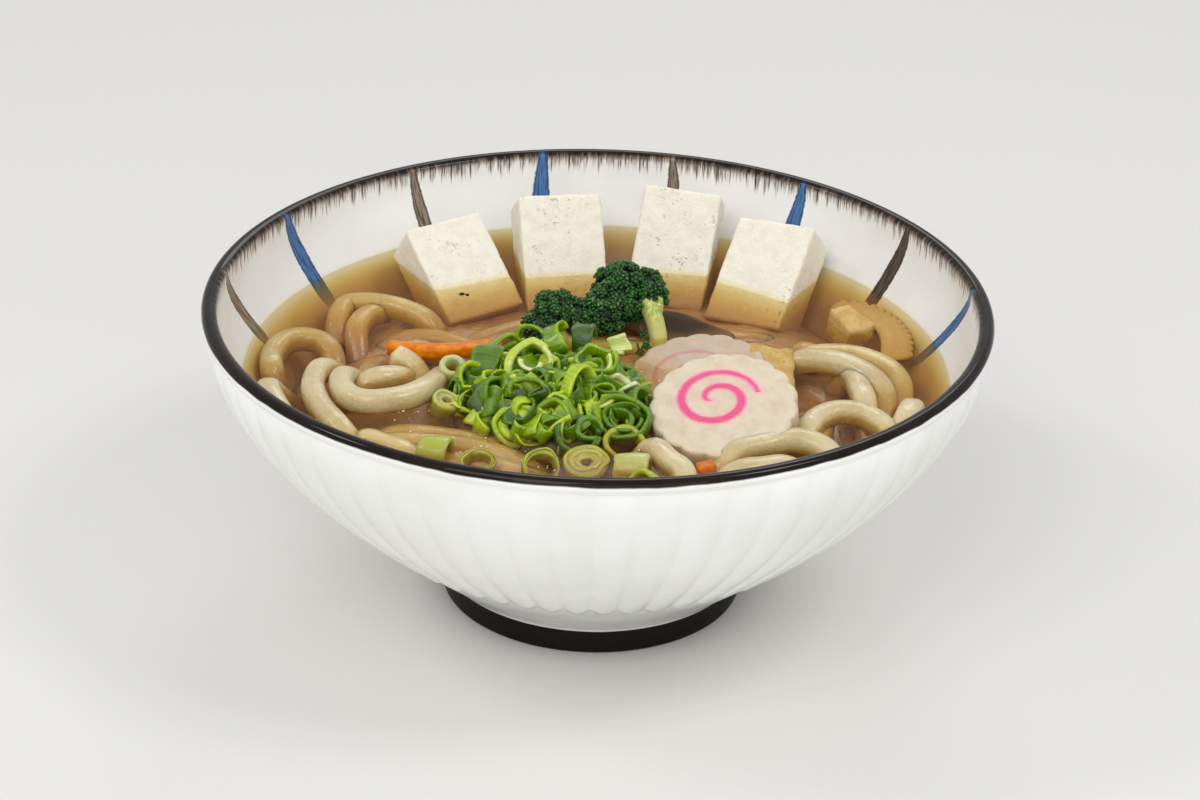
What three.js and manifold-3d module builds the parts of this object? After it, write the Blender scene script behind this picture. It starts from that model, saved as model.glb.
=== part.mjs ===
// A bowl of udon noodle soup: a fluted stoneware bowl on a foot ring, filled with clear broth,
// noodles, blocks of tofu, slices of swirled fish cake, broccoli, sliced scallions, a strip of
// carrot and fried tofu. Millimetres, +Z up, origin at the middle of the foot's underside.

import * as THREE from 'three';
import { mergeVertices } from 'three/addons/utils/BufferGeometryUtils.js';
import Module from 'manifold-3d';

const wasm = await Module();
wasm.setup();

// ---- driving dimensions ----

const rimRadius = 105;
const bowlHeight = 86;
const wallTop = 82;
const lipOverhang = 0.6;
const wallThickness = 3.6;
const footRadius = 41.3;
const footHeight = 6.6;
const footRingWidth = 5.6;
const footRecess = 4.6;
const floorHeight = 10.6;
const floorRadius = 30;
const bowlSides = 52;

const fluteCount = 60;
const fluteDepth = 0.9;
const fluteLowEnd = 24.5;
const fluteArchRise = 4;
const fluteFade = [[43, 0.95], [62, 0.8], [79, 0.5]];
const smoothBandHeight = 15;

const brothLevel = 65;
const gap = 0.3;

const noodleWidth = 6.6;
const narutoRadius = 19.5;
const narutoThickness = 6;
const narutoScallops = 17;

const upperRow = 77;
const wallRows = [brothLevel, 44, 22];

// ---- small helpers ----

const rad = THREE.MathUtils.degToRad;
const model = new THREE.Group();

// Repeatable random numbers between 0 and 1.
function randomSource(seed) {
  let state = seed;
  return () => {
    state = (state * 1664525 + 1013904223) % 4294967296;
    return state / 4294967296;
  };
}

// A gentle uneven wave in three directions, between -1 and 1, the same for the same place.
function unevenness(x, y, z, seed) {
  const first = Math.sin(1.9 * x + 2.3 * seed) * Math.cos(2.3 * y - 1.1 * seed);
  const second = Math.sin(2.7 * z + 3.1 * x - 0.7 * seed);
  return 0.6 * first + 0.4 * second;
}

function toSolid(geometry) {
  const bare = geometry.clone();
  bare.deleteAttribute('normal');
  bare.deleteAttribute('uv');
  const merged = mergeVertices(bare, 1e-4);
  const index = merged.index.array;
  const corners = [];
  for (let i = 0; i < index.length; i += 3) {
    const [a, b, c] = [index[i], index[i + 1], index[i + 2]];
    if (a !== b && b !== c && c !== a) corners.push(a, b, c);
  }
  return new wasm.Manifold(new wasm.Mesh({
    numProp: 3,
    vertProperties: new Float32Array(merged.attributes.position.array),
    triVerts: new Uint32Array(corners),
  }));
}

// The triangles of the biggest connected body, so that no loose scrap is left after a cut.
function biggestBody(vertices, corners) {
  const parent = Array.from({ length: vertices.length / 3 }, (_, i) => i);
  const rootOf = (i) => {
    let root = i;
    while (parent[root] !== root) root = parent[root];
    while (parent[i] !== root) [parent[i], i] = [root, parent[i]];
    return root;
  };
  for (let i = 0; i < corners.length; i += 3) {
    parent[rootOf(corners[i])] = rootOf(corners[i + 1]);
    parent[rootOf(corners[i + 1])] = rootOf(corners[i + 2]);
  }
  const volumes = new Map();
  const point = (i) => new THREE.Vector3().fromArray(vertices, 3 * i);
  for (let i = 0; i < corners.length; i += 3) {
    const root = rootOf(corners[i]);
    const cross = point(corners[i + 1]).cross(point(corners[i + 2]));
    volumes.set(root, (volumes.get(root) ?? 0) + point(corners[i]).dot(cross) / 6);
  }
  const best = [...volumes].sort((a, b) => b[1] - a[1])[0][0];
  const kept = [];
  for (let i = 0; i < corners.length; i += 3) {
    if (rootOf(corners[i]) === best) kept.push(corners[i], corners[i + 1], corners[i + 2]);
  }
  return kept;
}

function toGeometry(solid) {
  const mesh = solid.getMesh();
  const geometry = new THREE.BufferGeometry();
  geometry.setAttribute('position', new THREE.BufferAttribute(mesh.vertProperties, 3));
  geometry.setIndex(biggestBody(mesh.vertProperties, mesh.triVerts));
  return geometry;
}

function addMesh(name, geometry, material) {
  const mesh = new THREE.Mesh(geometry, material);
  mesh.name = name;
  model.add(mesh);
}

// A closed skin over a stack of rings, from the first ring's middle to the last ring's middle.
// Each ring gives its number of points and a function from point number to [radius, height].
function ringStack(rings, firstHeight, lastHeight) {
  const positions = [0, 0, firstHeight];
  const corners = [];
  const starts = [];
  for (const ring of rings) {
    starts.push(positions.length / 3);
    for (let k = 0; k < ring.count; k++) {
      const angle = (2 * Math.PI * k) / ring.count;
      const [radius, height] = ring.at(k);
      positions.push(radius * Math.cos(angle), radius * Math.sin(angle), height);
    }
  }
  const last = positions.length / 3;
  positions.push(0, 0, lastHeight);
  const pointOf = (r, k) => starts[r] + (k % rings[r].count);
  for (let k = 0; k < rings[0].count; k++) {
    corners.push(0, pointOf(0, k + 1), pointOf(0, k));
  }
  for (let r = 0; r + 1 < rings.length; r++) {
    const [lower, upper] = [rings[r].count, rings[r + 1].count];
    let [i, j] = [0, 0];
    while (i < lower || j < upper) {
      if (j >= upper || (i < lower && (2 * i + 1) * upper <= (2 * j + 1) * lower)) {
        corners.push(pointOf(r, i), pointOf(r, i + 1), pointOf(r + 1, j));
        i += 1;
      } else {
        corners.push(pointOf(r + 1, j), pointOf(r, i), pointOf(r + 1, j + 1));
        j += 1;
      }
    }
  }
  const top = rings.length - 1;
  for (let k = 0; k < rings[top].count; k++) {
    corners.push(pointOf(top, k), pointOf(top, k + 1), last);
  }
  const geometry = new THREE.BufferGeometry();
  geometry.setAttribute('position', new THREE.Float32BufferAttribute(positions, 3));
  geometry.setIndex(corners);
  return geometry;
}

const plainRing = (radius, height) => ({ count: bowlSides, at: () => [radius, height] });

// A bar along a smooth curve through the points, with flat ends.
function barAlong(points, section, steps, grow) {
  const path = points.map((point) => new THREE.Vector3(...point));
  const extend = (from, to) => to.clone().sub(from).normalize().multiplyScalar(grow).add(to);
  if (grow > 0) {
    const count = path.length;
    const first = extend(path[1], path[0]);
    const last = extend(path[count - 2], path[count - 1]);
    path[0] = first;
    path[count - 1] = last;
  }
  const extrudePath = new THREE.CatmullRomCurve3(path, false, 'centripetal');
  return new THREE.ExtrudeGeometry(section, { steps, extrudePath, bevelEnabled: false });
}

const polygon = (radius, sides) => Array.from({ length: sides }, (_, k) => {
  const angle = (2 * Math.PI * k) / sides;
  return new THREE.Vector2(radius * Math.cos(angle), radius * Math.sin(angle));
});

// A plain oblong section.
function oblongSection(width, height) {
  const corners = [[-1, -1], [1, -1], [1, 1], [-1, 1]];
  return new THREE.Shape(corners.map(([x, y]) => new THREE.Vector2((x * width) / 2, (y * height) / 2)));
}

// An oblong section with cut corners.
function cutCornerSection(width, height, corner) {
  const [x, y] = [width / 2, height / 2];
  return new THREE.Shape([
    new THREE.Vector2(x, -y + corner),
    new THREE.Vector2(x, y - corner),
    new THREE.Vector2(x - corner, y),
    new THREE.Vector2(-x + corner, y),
    new THREE.Vector2(-x, y - corner),
    new THREE.Vector2(-x, -y + corner),
    new THREE.Vector2(-x + corner, -y),
    new THREE.Vector2(x - corner, -y),
  ]);
}

// A block with softened edges and slightly uneven faces, its middle at the origin. Where it is
// grown, it is the plain box round that block.
function softBlock(size, segments, roughness, seed, grow) {
  const spare = grow > 0 ? grow + roughness : 0;
  const grown = size.map((side) => side + 2 * spare);
  if (grow > 0) return new THREE.BoxGeometry(...grown);
  const geometry = new THREE.BoxGeometry(...grown, ...segments);
  const position = geometry.attributes.position;
  const edgePull = 0.022;
  for (let i = 0; i < position.count; i++) {
    const unit = grown.map((side, axis) => (2 * position.getComponent(i, axis)) / side);
    const [a, b, c] = unit.map((value) => value * value);
    const scale = 1 - edgePull * (a * b + b * c + c * a);
    grown.forEach((side, axis) => {
      const wave = roughness * unevenness(...unit, seed + 5 * axis);
      position.setComponent(i, axis, position.getComponent(i, axis) * scale + wave);
    });
  }
  return geometry;
}

// ---- the bowl ----

// Outside radius of the wall, without flutes, from the foot to the lip.
function wallRadius(height) {
  const part = THREE.MathUtils.clamp((height - footHeight) / (wallTop - footHeight), 0, 1);
  const spread = rimRadius - lipOverhang - footRadius;
  return footRadius + spread * (1 - (1 - part) ** 1.7) ** 1.12;
}

// Inside radius at a height, measured square to the wall and found by halving.
function insideRadius(height) {
  const step = 0.05;
  const inset = (outer) => {
    const slope = (wallRadius(outer + step) - wallRadius(outer - step)) / (2 * step);
    const length = Math.hypot(1, slope);
    return [wallRadius(outer) - wallThickness / length, outer + (wallThickness * slope) / length];
  };
  let low = footHeight + step;
  let high = bowlHeight;
  for (let i = 0; i < 40; i++) {
    const middle = (low + high) / 2;
    if (inset(middle)[1] < height) low = middle;
    else high = middle;
  }
  return inset(low)[0];
}

// Ribs stand out between narrow grooves: three points a flute, one in the groove.
function flutedRing(height, relief, archRise) {
  const pointsEach = 3;
  return {
    count: fluteCount * pointsEach,
    at: (k) => {
      const inGroove = k % pointsEach === 0;
      const z = height + (inGroove ? archRise : 0);
      return [wallRadius(z) + (inGroove ? 0 : relief * fluteDepth), z];
    },
  };
}

function bowlGeometry() {
  const ringInner = footRadius - footRingWidth;
  const lipOuter = rimRadius;
  const lipInner = rimRadius - lipOverhang - wallThickness;
  const lipMiddle = (lipOuter + lipInner) / 2;
  const foot = [
    plainRing(ringInner - 1, footRecess),
    plainRing(ringInner, 0),
    plainRing(footRadius - 0.7, 0),
    plainRing(footRadius, 0.7),
    plainRing(footRadius, footHeight),
  ];
  const smoothBand = [plainRing(wallRadius(smoothBandHeight), smoothBandHeight)];
  const flutes = [
    flutedRing(fluteLowEnd, 0, fluteArchRise),
    flutedRing(fluteLowEnd + 1.2, 1, fluteArchRise),
    ...fluteFade.map(([height, relief]) => flutedRing(height, relief, 0)),
  ];
  const lip = [
    plainRing(lipOuter - lipOverhang, wallTop + 0.3),
    plainRing(lipOuter, bowlHeight - 2),
    plainRing(lipMiddle + 1, bowlHeight - 0.2),
    plainRing(lipMiddle - 0.8, bowlHeight),
    plainRing(lipInner, bowlHeight - 1.8),
  ];
  const inside = [upperRow, ...wallRows].map((z) => plainRing(insideRadius(z), z));
  const floor = [plainRing(floorRadius, floorHeight + 0.5)];
  const rings = [...foot, ...smoothBand, ...flutes, ...lip, ...inside, ...floor];
  return ringStack(rings, footRecess, floorHeight);
}

// The solids joined into one, and cut off flat just over the broth.
function aboveBroth(solids) {
  const below = new THREE.BoxGeometry(3 * rimRadius, 3 * rimRadius, brothLevel);
  below.translate(0, 0, brothLevel / 2 + gap);
  return solids.reduce((whole, solid) => whole.add(solid)).subtract(toSolid(below));
}

// ---- tofu: blocks leaning back against the far wall ----

const tofuRoughness = 0.35;
const tofuBelow = 10;
const tofuBlocks = [
  { name: 'tofu_1', at: [-35.7, 51.3], facing: -28, lean: 52, roll: -5, size: [24, 15], above: 21.5 },
  { name: 'tofu_2', at: [-9.4, 58.3], facing: -12, lean: 36, roll: 1, size: [24, 17], above: 24 },
  { name: 'tofu_3', at: [20, 62], facing: 8, lean: 32, roll: 4, size: [22.5, 16], above: 24.7 },
  { name: 'tofu_4', at: [43.4, 50.5], facing: 34, lean: 48, roll: -7, size: [24, 13.5], above: 23 },
];

function tofuGeometry(block, grow) {
  const [width, depth] = block.size;
  const length = block.above + tofuBelow;
  const geometry = softBlock([width, depth, length], [3, 2, 4], tofuRoughness, block.facing, grow);
  geometry.translate(0, depth / 2, (block.above - tofuBelow) / 2);
  geometry.rotateY(rad(block.roll));
  geometry.rotateX(rad(-block.lean));
  geometry.rotateZ(rad(-block.facing));
  return geometry.translate(...block.at, brothLevel);
}

// ---- fish cake: scalloped slices with a pink swirl through them ----

const narutoSlices = [
  { name: 'naruto_front', centre: [33, -32, 71], back: 17, side: 6, turn: 0 },
  { name: 'naruto_back', centre: [27, -5.3, 65.2], back: 12, side: 8, turn: 14 },
];
const swirl = { centre: [-1.8, 1.7], start: 200, turn: 550, radius: 11, width: 2.4, steps: 18 };

function placeSlice(geometry, slice, grow) {
  geometry.translate(0, 0, -narutoThickness - grow);
  geometry.rotateZ(rad(slice.turn));
  geometry.rotateY(rad(-slice.side));
  geometry.rotateX(rad(slice.back));
  return geometry.translate(...slice.centre);
}

const coarseSides = 20;

// A scalloped disc; where it is grown, a plain disc of few sides round it.
function narutoDisc(slice, grow) {
  if (grow > 0) {
    const reach = (narutoRadius + grow) / Math.cos(Math.PI / coarseSides);
    const around = new THREE.Shape(polygon(reach, coarseSides));
    const depth = narutoThickness + 2 * grow;
    return placeSlice(new THREE.ExtrudeGeometry(around, { depth, bevelEnabled: false }), slice, grow);
  }
  const outline = [];
  const pointsEach = 3;
  const count = narutoScallops * pointsEach;
  for (let k = 0; k < count; k++) {
    const angle = (2 * Math.PI * k) / count;
    const bulge = Math.abs(Math.sin((narutoScallops * angle) / 2));
    const radius = narutoRadius - 0.9 + 0.9 * bulge;
    outline.push(new THREE.Vector2(radius * Math.cos(angle), radius * Math.sin(angle)));
  }
  const settings = { depth: narutoThickness, bevelEnabled: false };
  return placeSlice(new THREE.ExtrudeGeometry(new THREE.Shape(outline), settings), slice, 0);
}

// The swirl opens quickly near its middle and more slowly outside; it thins towards both ends.
function narutoSwirl(slice, grow, extraDepth) {
  const outer = [];
  const inner = [];
  for (let k = 0; k <= swirl.steps; k++) {
    const part = k / swirl.steps;
    const angle = rad(swirl.start - swirl.turn * part);
    const radius = 1.2 + (swirl.radius - 1.2) * part ** 0.62;
    const half = (swirl.width / 2) * (0.55 + 0.55 * Math.sin(Math.PI * part)) + grow;
    const direction = new THREE.Vector2(Math.cos(angle), Math.sin(angle));
    const centre = new THREE.Vector2(...swirl.centre);
    outer.push(direction.clone().multiplyScalar(radius + half).add(centre));
    inner.push(direction.clone().multiplyScalar(Math.max(radius - half, 0.1)).add(centre));
  }
  const depth = narutoThickness + 2 * extraDepth;
  const shape = new THREE.Shape([...outer, ...inner.reverse()]);
  const strip = new THREE.ExtrudeGeometry(shape, { depth, bevelEnabled: false });
  return placeSlice(strip, slice, extraDepth);
}

// ---- broccoli: lobes of small buds on a stalk that branches ----

const broccoliLobes = [
  { centre: [6.5, 29, 73.4], radius: 8.2 },
  { centre: [13, 26.5, 73], radius: 5.4 },
  { centre: [2, 23.5, 70.5], radius: 6 },
  { centre: [-5.5, 22.5, 69.3], radius: 4.8 },
  { centre: [-12, 21.5, 71], radius: 5.8 },
  { centre: [-16, 18, 68], radius: 4.2 },
];
const broccoliStalks = [
  { points: [[16.8, 17, 60], [15.2, 20.5, 65], [11.5, 25, 71]], width: 5.5 },
  { points: [[15.5, 18, 61.5], [1, 21, 61], [-9, 20, 63], [-12, 20.5, 67.5]], width: 4.5 },
];
const stalkSteps = 4;

// An uneven ball of few faces; where it is grown, a smooth one round it.
function lobeGeometry({ centre, radius }, grow) {
  const geometry = new THREE.IcosahedronGeometry(1, 1);
  const position = geometry.attributes.position;
  const point = new THREE.Vector3();
  for (let i = 0; i < position.count; i++) {
    point.fromBufferAttribute(position, i);
    const place = point.clone().multiplyScalar(4).add(new THREE.Vector3(...centre));
    const uneven = 0.1 * unevenness(place.x, place.y, place.z, 3);
    point.multiplyScalar(radius * (1 + (grow > 0 ? 0.12 : uneven)) + grow);
    position.setXYZ(i, point.x, point.y, point.z);
  }
  return geometry.translate(...centre);
}

function broccoliSolid(grow) {
  const lobes = broccoliLobes.map((lobe) => toSolid(lobeGeometry(lobe, grow)));
  const stalks = broccoliStalks.map(({ points, width }) => {
    const section = grow > 0
      ? oblongSection(width + 2 * grow, width + 2 * grow)
      : cutCornerSection(width, width, width / 3.4);
    return toSolid(barAlong(points, section, stalkSteps, grow));
  });
  return [...lobes, ...stalks].reduce((whole, piece) => whole.add(piece));
}

// ---- carrot and fried tofu ----

const carrotPieces = [
  {
    name: 'carrot_strip',
    points: [[-57, 7.5, 65.6], [-48, 4.8, 66], [-38, 6, 65.8], [-26, 11, 65.2]],
    size: [3.4, 4.6],
    steps: 7,
  },
  { name: 'carrot_bit', points: [[25.5, -57, 64.1], [31, -55.5, 64.9]], size: [3.6, 3.8], steps: 2 },
];

const friedPieces = [
  {
    name: 'fried_tofu_1',
    centre: [46.6, -15, 62.2],
    size: [12.5, 48, 6],
    lean: 9,
    roll: 12,
    turn: 0,
    taper: 0,
  },
  {
    name: 'fried_tofu_2',
    centre: [69.7, 30, 64],
    size: [9.8, 11.5, 8.5],
    lean: 14,
    roll: 0,
    turn: 38,
    taper: 0.35,
  },
];

function carrotGeometry(piece, grow) {
  const [width, height] = piece.size.map((side) => side + 2 * grow);
  const section = grow > 0 ? oblongSection(width, height) : cutCornerSection(width, height, 0.8);
  return barAlong(piece.points, section, piece.steps, grow);
}

function friedGeometry(piece, grow) {
  const geometry = softBlock(piece.size, [2, 4, 2], 0.5, piece.centre[0], grow);
  const position = geometry.attributes.position;
  for (let i = 0; i < position.count; i++) {
    const along = position.getY(i) / piece.size[1] + 0.5;
    position.setX(i, position.getX(i) * (1 - piece.taper * along));
  }
  geometry.rotateY(rad(piece.roll));
  geometry.rotateX(rad(piece.lean));
  geometry.rotateZ(rad(piece.turn));
  return geometry.translate(...piece.centre);
}

// ---- scallions: a mound of rings and curls, and loose rings afloat round it ----

const mound = { centre: [-11.8, -19.8], radius: 26, base: 61, top: 72, sides: 16 };
const ringSides = 6;

function moundHeight(x, y) {
  const across = (x - mound.centre[0]) / mound.radius;
  const along = (y - mound.centre[1]) / mound.radius;
  const slope = Math.max(0, 1 - across * across - along * along);
  return mound.base + (mound.top - mound.base) * slope ** 0.7;
}

function moundGeometry(grow) {
  const shares = [1, 0.92, 0.7, 0.36];
  const rings = shares.map((share, level) => ({
    count: mound.sides,
    at: (k) => {
      const angle = (2 * Math.PI * k) / mound.sides;
      const wave = 1 + 0.05 * unevenness(3 * Math.cos(angle), 3 * Math.sin(angle), 1, 7);
      const radius = mound.radius * share * wave;
      const x = mound.centre[0] + radius * Math.cos(angle);
      const y = mound.centre[1] + radius * Math.sin(angle);
      const height = level === 0 ? mound.base - 2 : moundHeight(x, y) + 0.3;
      return [radius + grow, height + (level === 0 ? -grow : grow)];
    },
  }));
  const geometry = ringStack(rings, mound.base - 2 - grow, mound.top + grow);
  return geometry.translate(...mound.centre, 0);
}

// A cut ring of leaf: an outer and an inner outline with few sides.
function leafRing(outer, inner, length, grow) {
  const shape = new THREE.Shape(polygon(outer + grow, ringSides));
  if (inner > grow) shape.holes.push(new THREE.Path(polygon(inner - grow, ringSides)));
  const depth = length + 2 * grow;
  const geometry = new THREE.ExtrudeGeometry(shape, { depth, bevelEnabled: false });
  return geometry.translate(0, 0, -depth / 2);
}

// A curl: a strip of leaf bent round part of a circle.
function leafCurl(radius, sweep, width, thickness) {
  const points = [0, 1, 2, 3].map((k) => {
    const angle = rad((sweep * k) / 3);
    return [radius * Math.cos(angle) - radius / 2, radius * Math.sin(angle), 0.6 * k - 1];
  });
  return barAlong(points, oblongSection(thickness, width), 4, 0);
}

const moundPieceCount = 16;

// Pieces sit evenly over the mound by the golden angle, each turned its own way.
function moundPieces() {
  const random = randomSource(41);
  const pieces = [];
  for (let k = 0; k < moundPieceCount; k++) {
    const reach = 0.8 * Math.sqrt((k + 0.6) / moundPieceCount);
    const around = k * Math.PI * (3 - Math.sqrt(5));
    const x = mound.centre[0] + mound.radius * reach * Math.cos(around);
    const y = mound.centre[1] + mound.radius * reach * Math.sin(around);
    const outer = 3.1 + 1.7 * random();
    const isRing = random() < 0.55;
    const length = 3 + 2 * random();
    const sweep = 110 + 120 * random();
    const geometry = isRing
      ? leafRing(outer, outer - 1.2, length, 0)
      : leafCurl(outer + 0.8, sweep, 4.5, 1.2);
    geometry.rotateX(rad(75 * (random() - 0.5) + (isRing ? 0 : 40)));
    geometry.rotateY(rad(80 * (random() - 0.5)));
    geometry.rotateZ(2 * Math.PI * random());
    const lift = 0.7 + 0.7 * random();
    geometry.translate(x, y, Math.max(moundHeight(x, y), brothLevel - 0.5) + lift);
    pieces.push(geometry);
  }
  return pieces;
}

// The pieces lie clear of what comes after them, so only the mound is grown.
function scallionSolid(grow) {
  const core = toSolid(moundGeometry(grow));
  return grow > 0 ? core : core.add(aboveBroth(moundPieces().map(toSolid)));
}

const looseScallions = [
  { name: 'scallion_loose_1', at: [-40.5, -50, 63.9], outer: 4.2, inner: 2.6, length: 8, axis: [90, 70] },
  { name: 'scallion_loose_2', at: [-29.5, -56, 63.8], outer: 4.6, inner: 3.4, length: 4, axis: [12, 0] },
  { name: 'scallion_loose_3', at: [-13.5, -58, 64], outer: 5, inner: 3.7, length: 4.5, axis: [40, 20] },
  { name: 'scallion_loose_4', at: [-2, -54.5, 63.9], outer: 6, inner: 1.4, length: 4, axis: [14, 0] },
  { name: 'scallion_loose_5', at: [9.5, -56, 63.5], outer: 4.2, inner: 2.4, length: 9, axis: [90, 80] },
  { name: 'scallion_loose_6', at: [13, -65.5, 64], outer: 4.4, inner: 3, length: 5, axis: [60, -40] },
  { name: 'scallion_loose_7', at: [-38.5, -7.5, 66], outer: 3.7, inner: 2, length: 6.5, axis: [25, 30] },
  { name: 'scallion_loose_8', at: [-39.3, -25.5, 65], outer: 3.9, inner: 1.1, length: 4.5, axis: [22, 40] },
  { name: 'scallion_loose_9', at: [7.5, -44.5, 64.4], outer: 5.6, inner: 4.2, length: 4, axis: [20, 10] },
];

function looseGeometry(piece, grow) {
  const geometry = leafRing(piece.outer, piece.inner, piece.length, grow);
  geometry.rotateX(rad(piece.axis[0]));
  geometry.rotateZ(rad(piece.axis[1]));
  return geometry.translate(...piece.at);
}

// ---- noodles ----
// Each route gives a noodle's middle line: across, along, and height over the broth. The ends
// dive into the heap.

const noodleRoutes = [
  // left side
  [
    [-71.3, 9, -7], [-72.8, 14, -4], [-76.8, 18.9, -3], [-81.8, 19.4, -2.6],
    [-86.1, 15.8, -2.2], [-88.1, 6.6, -1.8], [-87.2, -1.7, -2.2], [-85.5, -1.6, -7],
  ],
  [[-78, -14, -7], [-86.2, -17.9, -0.4], [-82, -31, -0.4], [-71, -44, -6]],
  [
    [-64, 4, -7], [-72.9, -3.1, -1.4], [-74.8, -14.5, 0], [-73.5, -23.6, 0.2],
    [-70.5, -30.7, -0.2], [-65.5, -38.3, -1.4], [-52, -54, -7],
  ],
  [
    [-58, -2, -6.5], [-66.6, -10.4, 0], [-67.1, -18.8, 1.2], [-63.9, -25.8, 1.6], [-59.3, -28, 1.8],
    [-54.2, -27.1, 1.8], [-49.1, -24.4, 1.6], [-44.5, -18.3, 1.2], [-41.1, -3.8, -2.5],
  ],
  [[-44, -8, -7], [-50, 0.5, -1.6], [-55.5, 1.8, 1.2]],
  [[-66, -12, -7], [-61.2, -11, -1.6], [-54, -7.2, -1.2], [-47.8, 3.9, -5]],
  // left back
  [
    [-72.5, 27.6, -7.5], [-72.8, 35, -3.6], [-70.4, 43, -2.6], [-65.4, 43, -2],
    [-59.6, 41.1, -1.7], [-53.7, 37.8, -1.7], [-47.8, 33.2, -2], [-42.6, 35.6, -7],
  ],
  // front left
  [[-62, -40, -7], [-59.6, -41, -1], [-53.7, -44.4, -0.8], [-47.5, -48.7, -1.2], [-32, -64, -6.5]],
  // right side
  [
    [48, 12, -7], [54.6, 7.4, -1], [61.9, 4.7, 1], [68.5, 1.1, 1],
    [73.8, -4.3, 0.2], [76.8, -8.8, -2.2], [75, -22, -7],
  ],
  [
    [52, 22, -7], [57.7, 14.8, -1.8], [66.6, 16.1, -1.4], [74, 13.1, -1.4],
    [79.6, 6.8, -1.8], [82.1, -0.3, -3], [80, -18, -7],
  ],
  [[64, 6, -7], [68.5, -0.1, -1.4], [70.2, -9.8, -0.4], [71.1, -16.9, -1], [72, -26, -7]],
  [
    [50, -42, -7], [55.3, -32.1, -1.6], [57.9, -27.1, -0.6], [63, -23.5, -0.2],
    [69.3, -23.4, -0.4], [74.1, -27.7, -1], [76.5, -31.8, -2.6], [71, -49, -7],
  ],
  [[82, -10, -7], [83.3, -19.5, -0.8], [80.8, -28.2, -0.8], [77.5, -34, -6.5]],
  // right front, beside the fish cake
  [
    [28, -56, -7], [35.8, -47.9, -0.6], [42.8, -44.9, 0.6], [50.8, -41.9, 1],
    [57, -43.3, 0.2], [60.7, -47, -1.8], [58, -58, -6.5],
  ],
  [[24, -66, -7], [36.3, -57.8, -0.8], [42.7, -55.5, -0.4], [49.3, -54.7, -0.6], [60, -60, -7]],
  [[9, -46, -7], [14.2, -45.6, -1], [18.7, -53.4, -0.2], [22.7, -59.2, -1], [22, -75, -7]],
];

// A rounded, slightly flat section with six sides.
function noodleSection(width) {
  const half = width / 2;
  const corners = [[1, -0.45], [1, 0.45], [0.2, 1], [-1, 0.5], [-1, -0.5], [0.2, -1]];
  return new THREE.Shape(corners.map(([x, y]) => new THREE.Vector2(x * half, y * half)));
}

function noodleGeometry(route, index) {
  const width = noodleWidth + 0.5 * unevenness(index, 0, 0, 2);
  const points = route.map(([x, y, rise]) => [x, y, brothLevel + rise]);
  return barAlong(points, noodleSection(width), 2 * route.length - 3, 0);
}

// The heap under the noodles that show. Where they do, it rises out of the broth as a bank.
// Going round from +X: direction, the bank's inner and outer radius, and 1 where it rises.
const heapSides = 32;
const heapFoot = [[22, 46], [34, 61], [46, 74], [56, 82]];
const sunkTop = 61.8;
const bankTop = 66;
const bank = [
  [0, 49, 90, 1],
  [20, 50, 86, 1],
  [34, 56, 80, 0],
  [136, 54, 80, 0],
  [146, 46, 80, 1],
  [158, 50, 82, 1],
  [170, 46, 91, 1],
  [205, 42, 91, 1],
  [232, 58, 91, 1],
  [242, 62, 82, 0],
  [264, 50, 80, 0],
  [274, 46, 84, 1],
  [300, 56, 91, 1],
  [340, 54, 91, 1],
  [360, 49, 90, 1],
];

function bankAt(direction) {
  const next = bank.findIndex((row) => row[0] > direction);
  const [before, after] = [bank[next - 1], bank[next]];
  const part = (direction - before[0]) / (after[0] - before[0]);
  return before.map((value, i) => THREE.MathUtils.lerp(value, after[i], part));
}

function heapGeometry(grow) {
  const footRings = heapFoot.map(([height, radius]) => ({
    count: heapSides / 2,
    at: (k) => [radius * (1 + 0.02 * unevenness(k, height, 0, 4)) + grow, height - grow],
  }));
  const bankRing = (pick) => ({
    count: heapSides,
    at: (k) => {
      const [, inner, outer, share] = bankAt((360 * k) / heapSides);
      const wave = unevenness(k, 0, 0, 6);
      const top = THREE.MathUtils.lerp(sunkTop, bankTop, share) + 0.3 * wave * share;
      return pick(inner + wave, outer, top, share);
    },
  });
  return ringStack([
    ...footRings,
    bankRing((inner, outer, top, share) => [outer + 1.5 * grow, top - 1 - 1.6 * share]),
    bankRing((inner, outer, top) => [outer - 2 + 1.5 * grow, top + grow]),
    bankRing((inner, outer, top) => [inner + 3 - grow, top + grow]),
    bankRing((inner) => [inner - grow, sunkTop + grow]),
  ], heapFoot[0][0] - grow, sunkTop + grow);
}

// The noodles that show lie over the broth, joined to the heap where its banks rise.
function noodleSolid(grow) {
  const heap = toSolid(heapGeometry(grow));
  if (grow > 0) return heap;
  return heap.add(aboveBroth(noodleRoutes.map((route, i) => toSolid(noodleGeometry(route, i)))));
}

// ---- broth ----

function brothGeometry() {
  const rows = [...wallRows].reverse();
  const wall = rows.map((z) => plainRing(insideRadius(z) - 1.4 * gap, z));
  const floor = plainRing(floorRadius, floorHeight + 0.5 + 1.4 * gap);
  return ringStack([floor, ...wall], floorHeight + 1.4 * gap, brothLevel);
}

// ---- materials ----

const finish = (color, roughness) => new THREE.MeshStandardMaterial({ color, roughness, metalness: 0 });
const glaze = finish(0xecebe6, 0.22);
const brothFinish = finish(0xb98442, 0.08);
const noodleFinish = finish(0xe4cda0, 0.35);
const tofuFinish = finish(0xefe6cf, 0.6);
const cakeFinish = finish(0xe6dac0, 0.45);
const pinkFinish = finish(0xe85f96, 0.45);
const broccoliFinish = finish(0x2c5a25, 0.6);
const scallionFinish = finish(0x86b83a, 0.4);
const carrotFinish = finish(0xe27a1e, 0.35);
const friedFinish = finish(0xd9b065, 0.6);

// ---- assembly: what lies on top comes first, and each later piece is cut clear of it ----

const placed = [];

function boxesMeet(one, other) {
  const spare = 1;
  return [0, 1, 2].every((axis) =>
    one.min[axis] - spare < other.max[axis] && other.min[axis] - spare < one.max[axis]);
}

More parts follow.
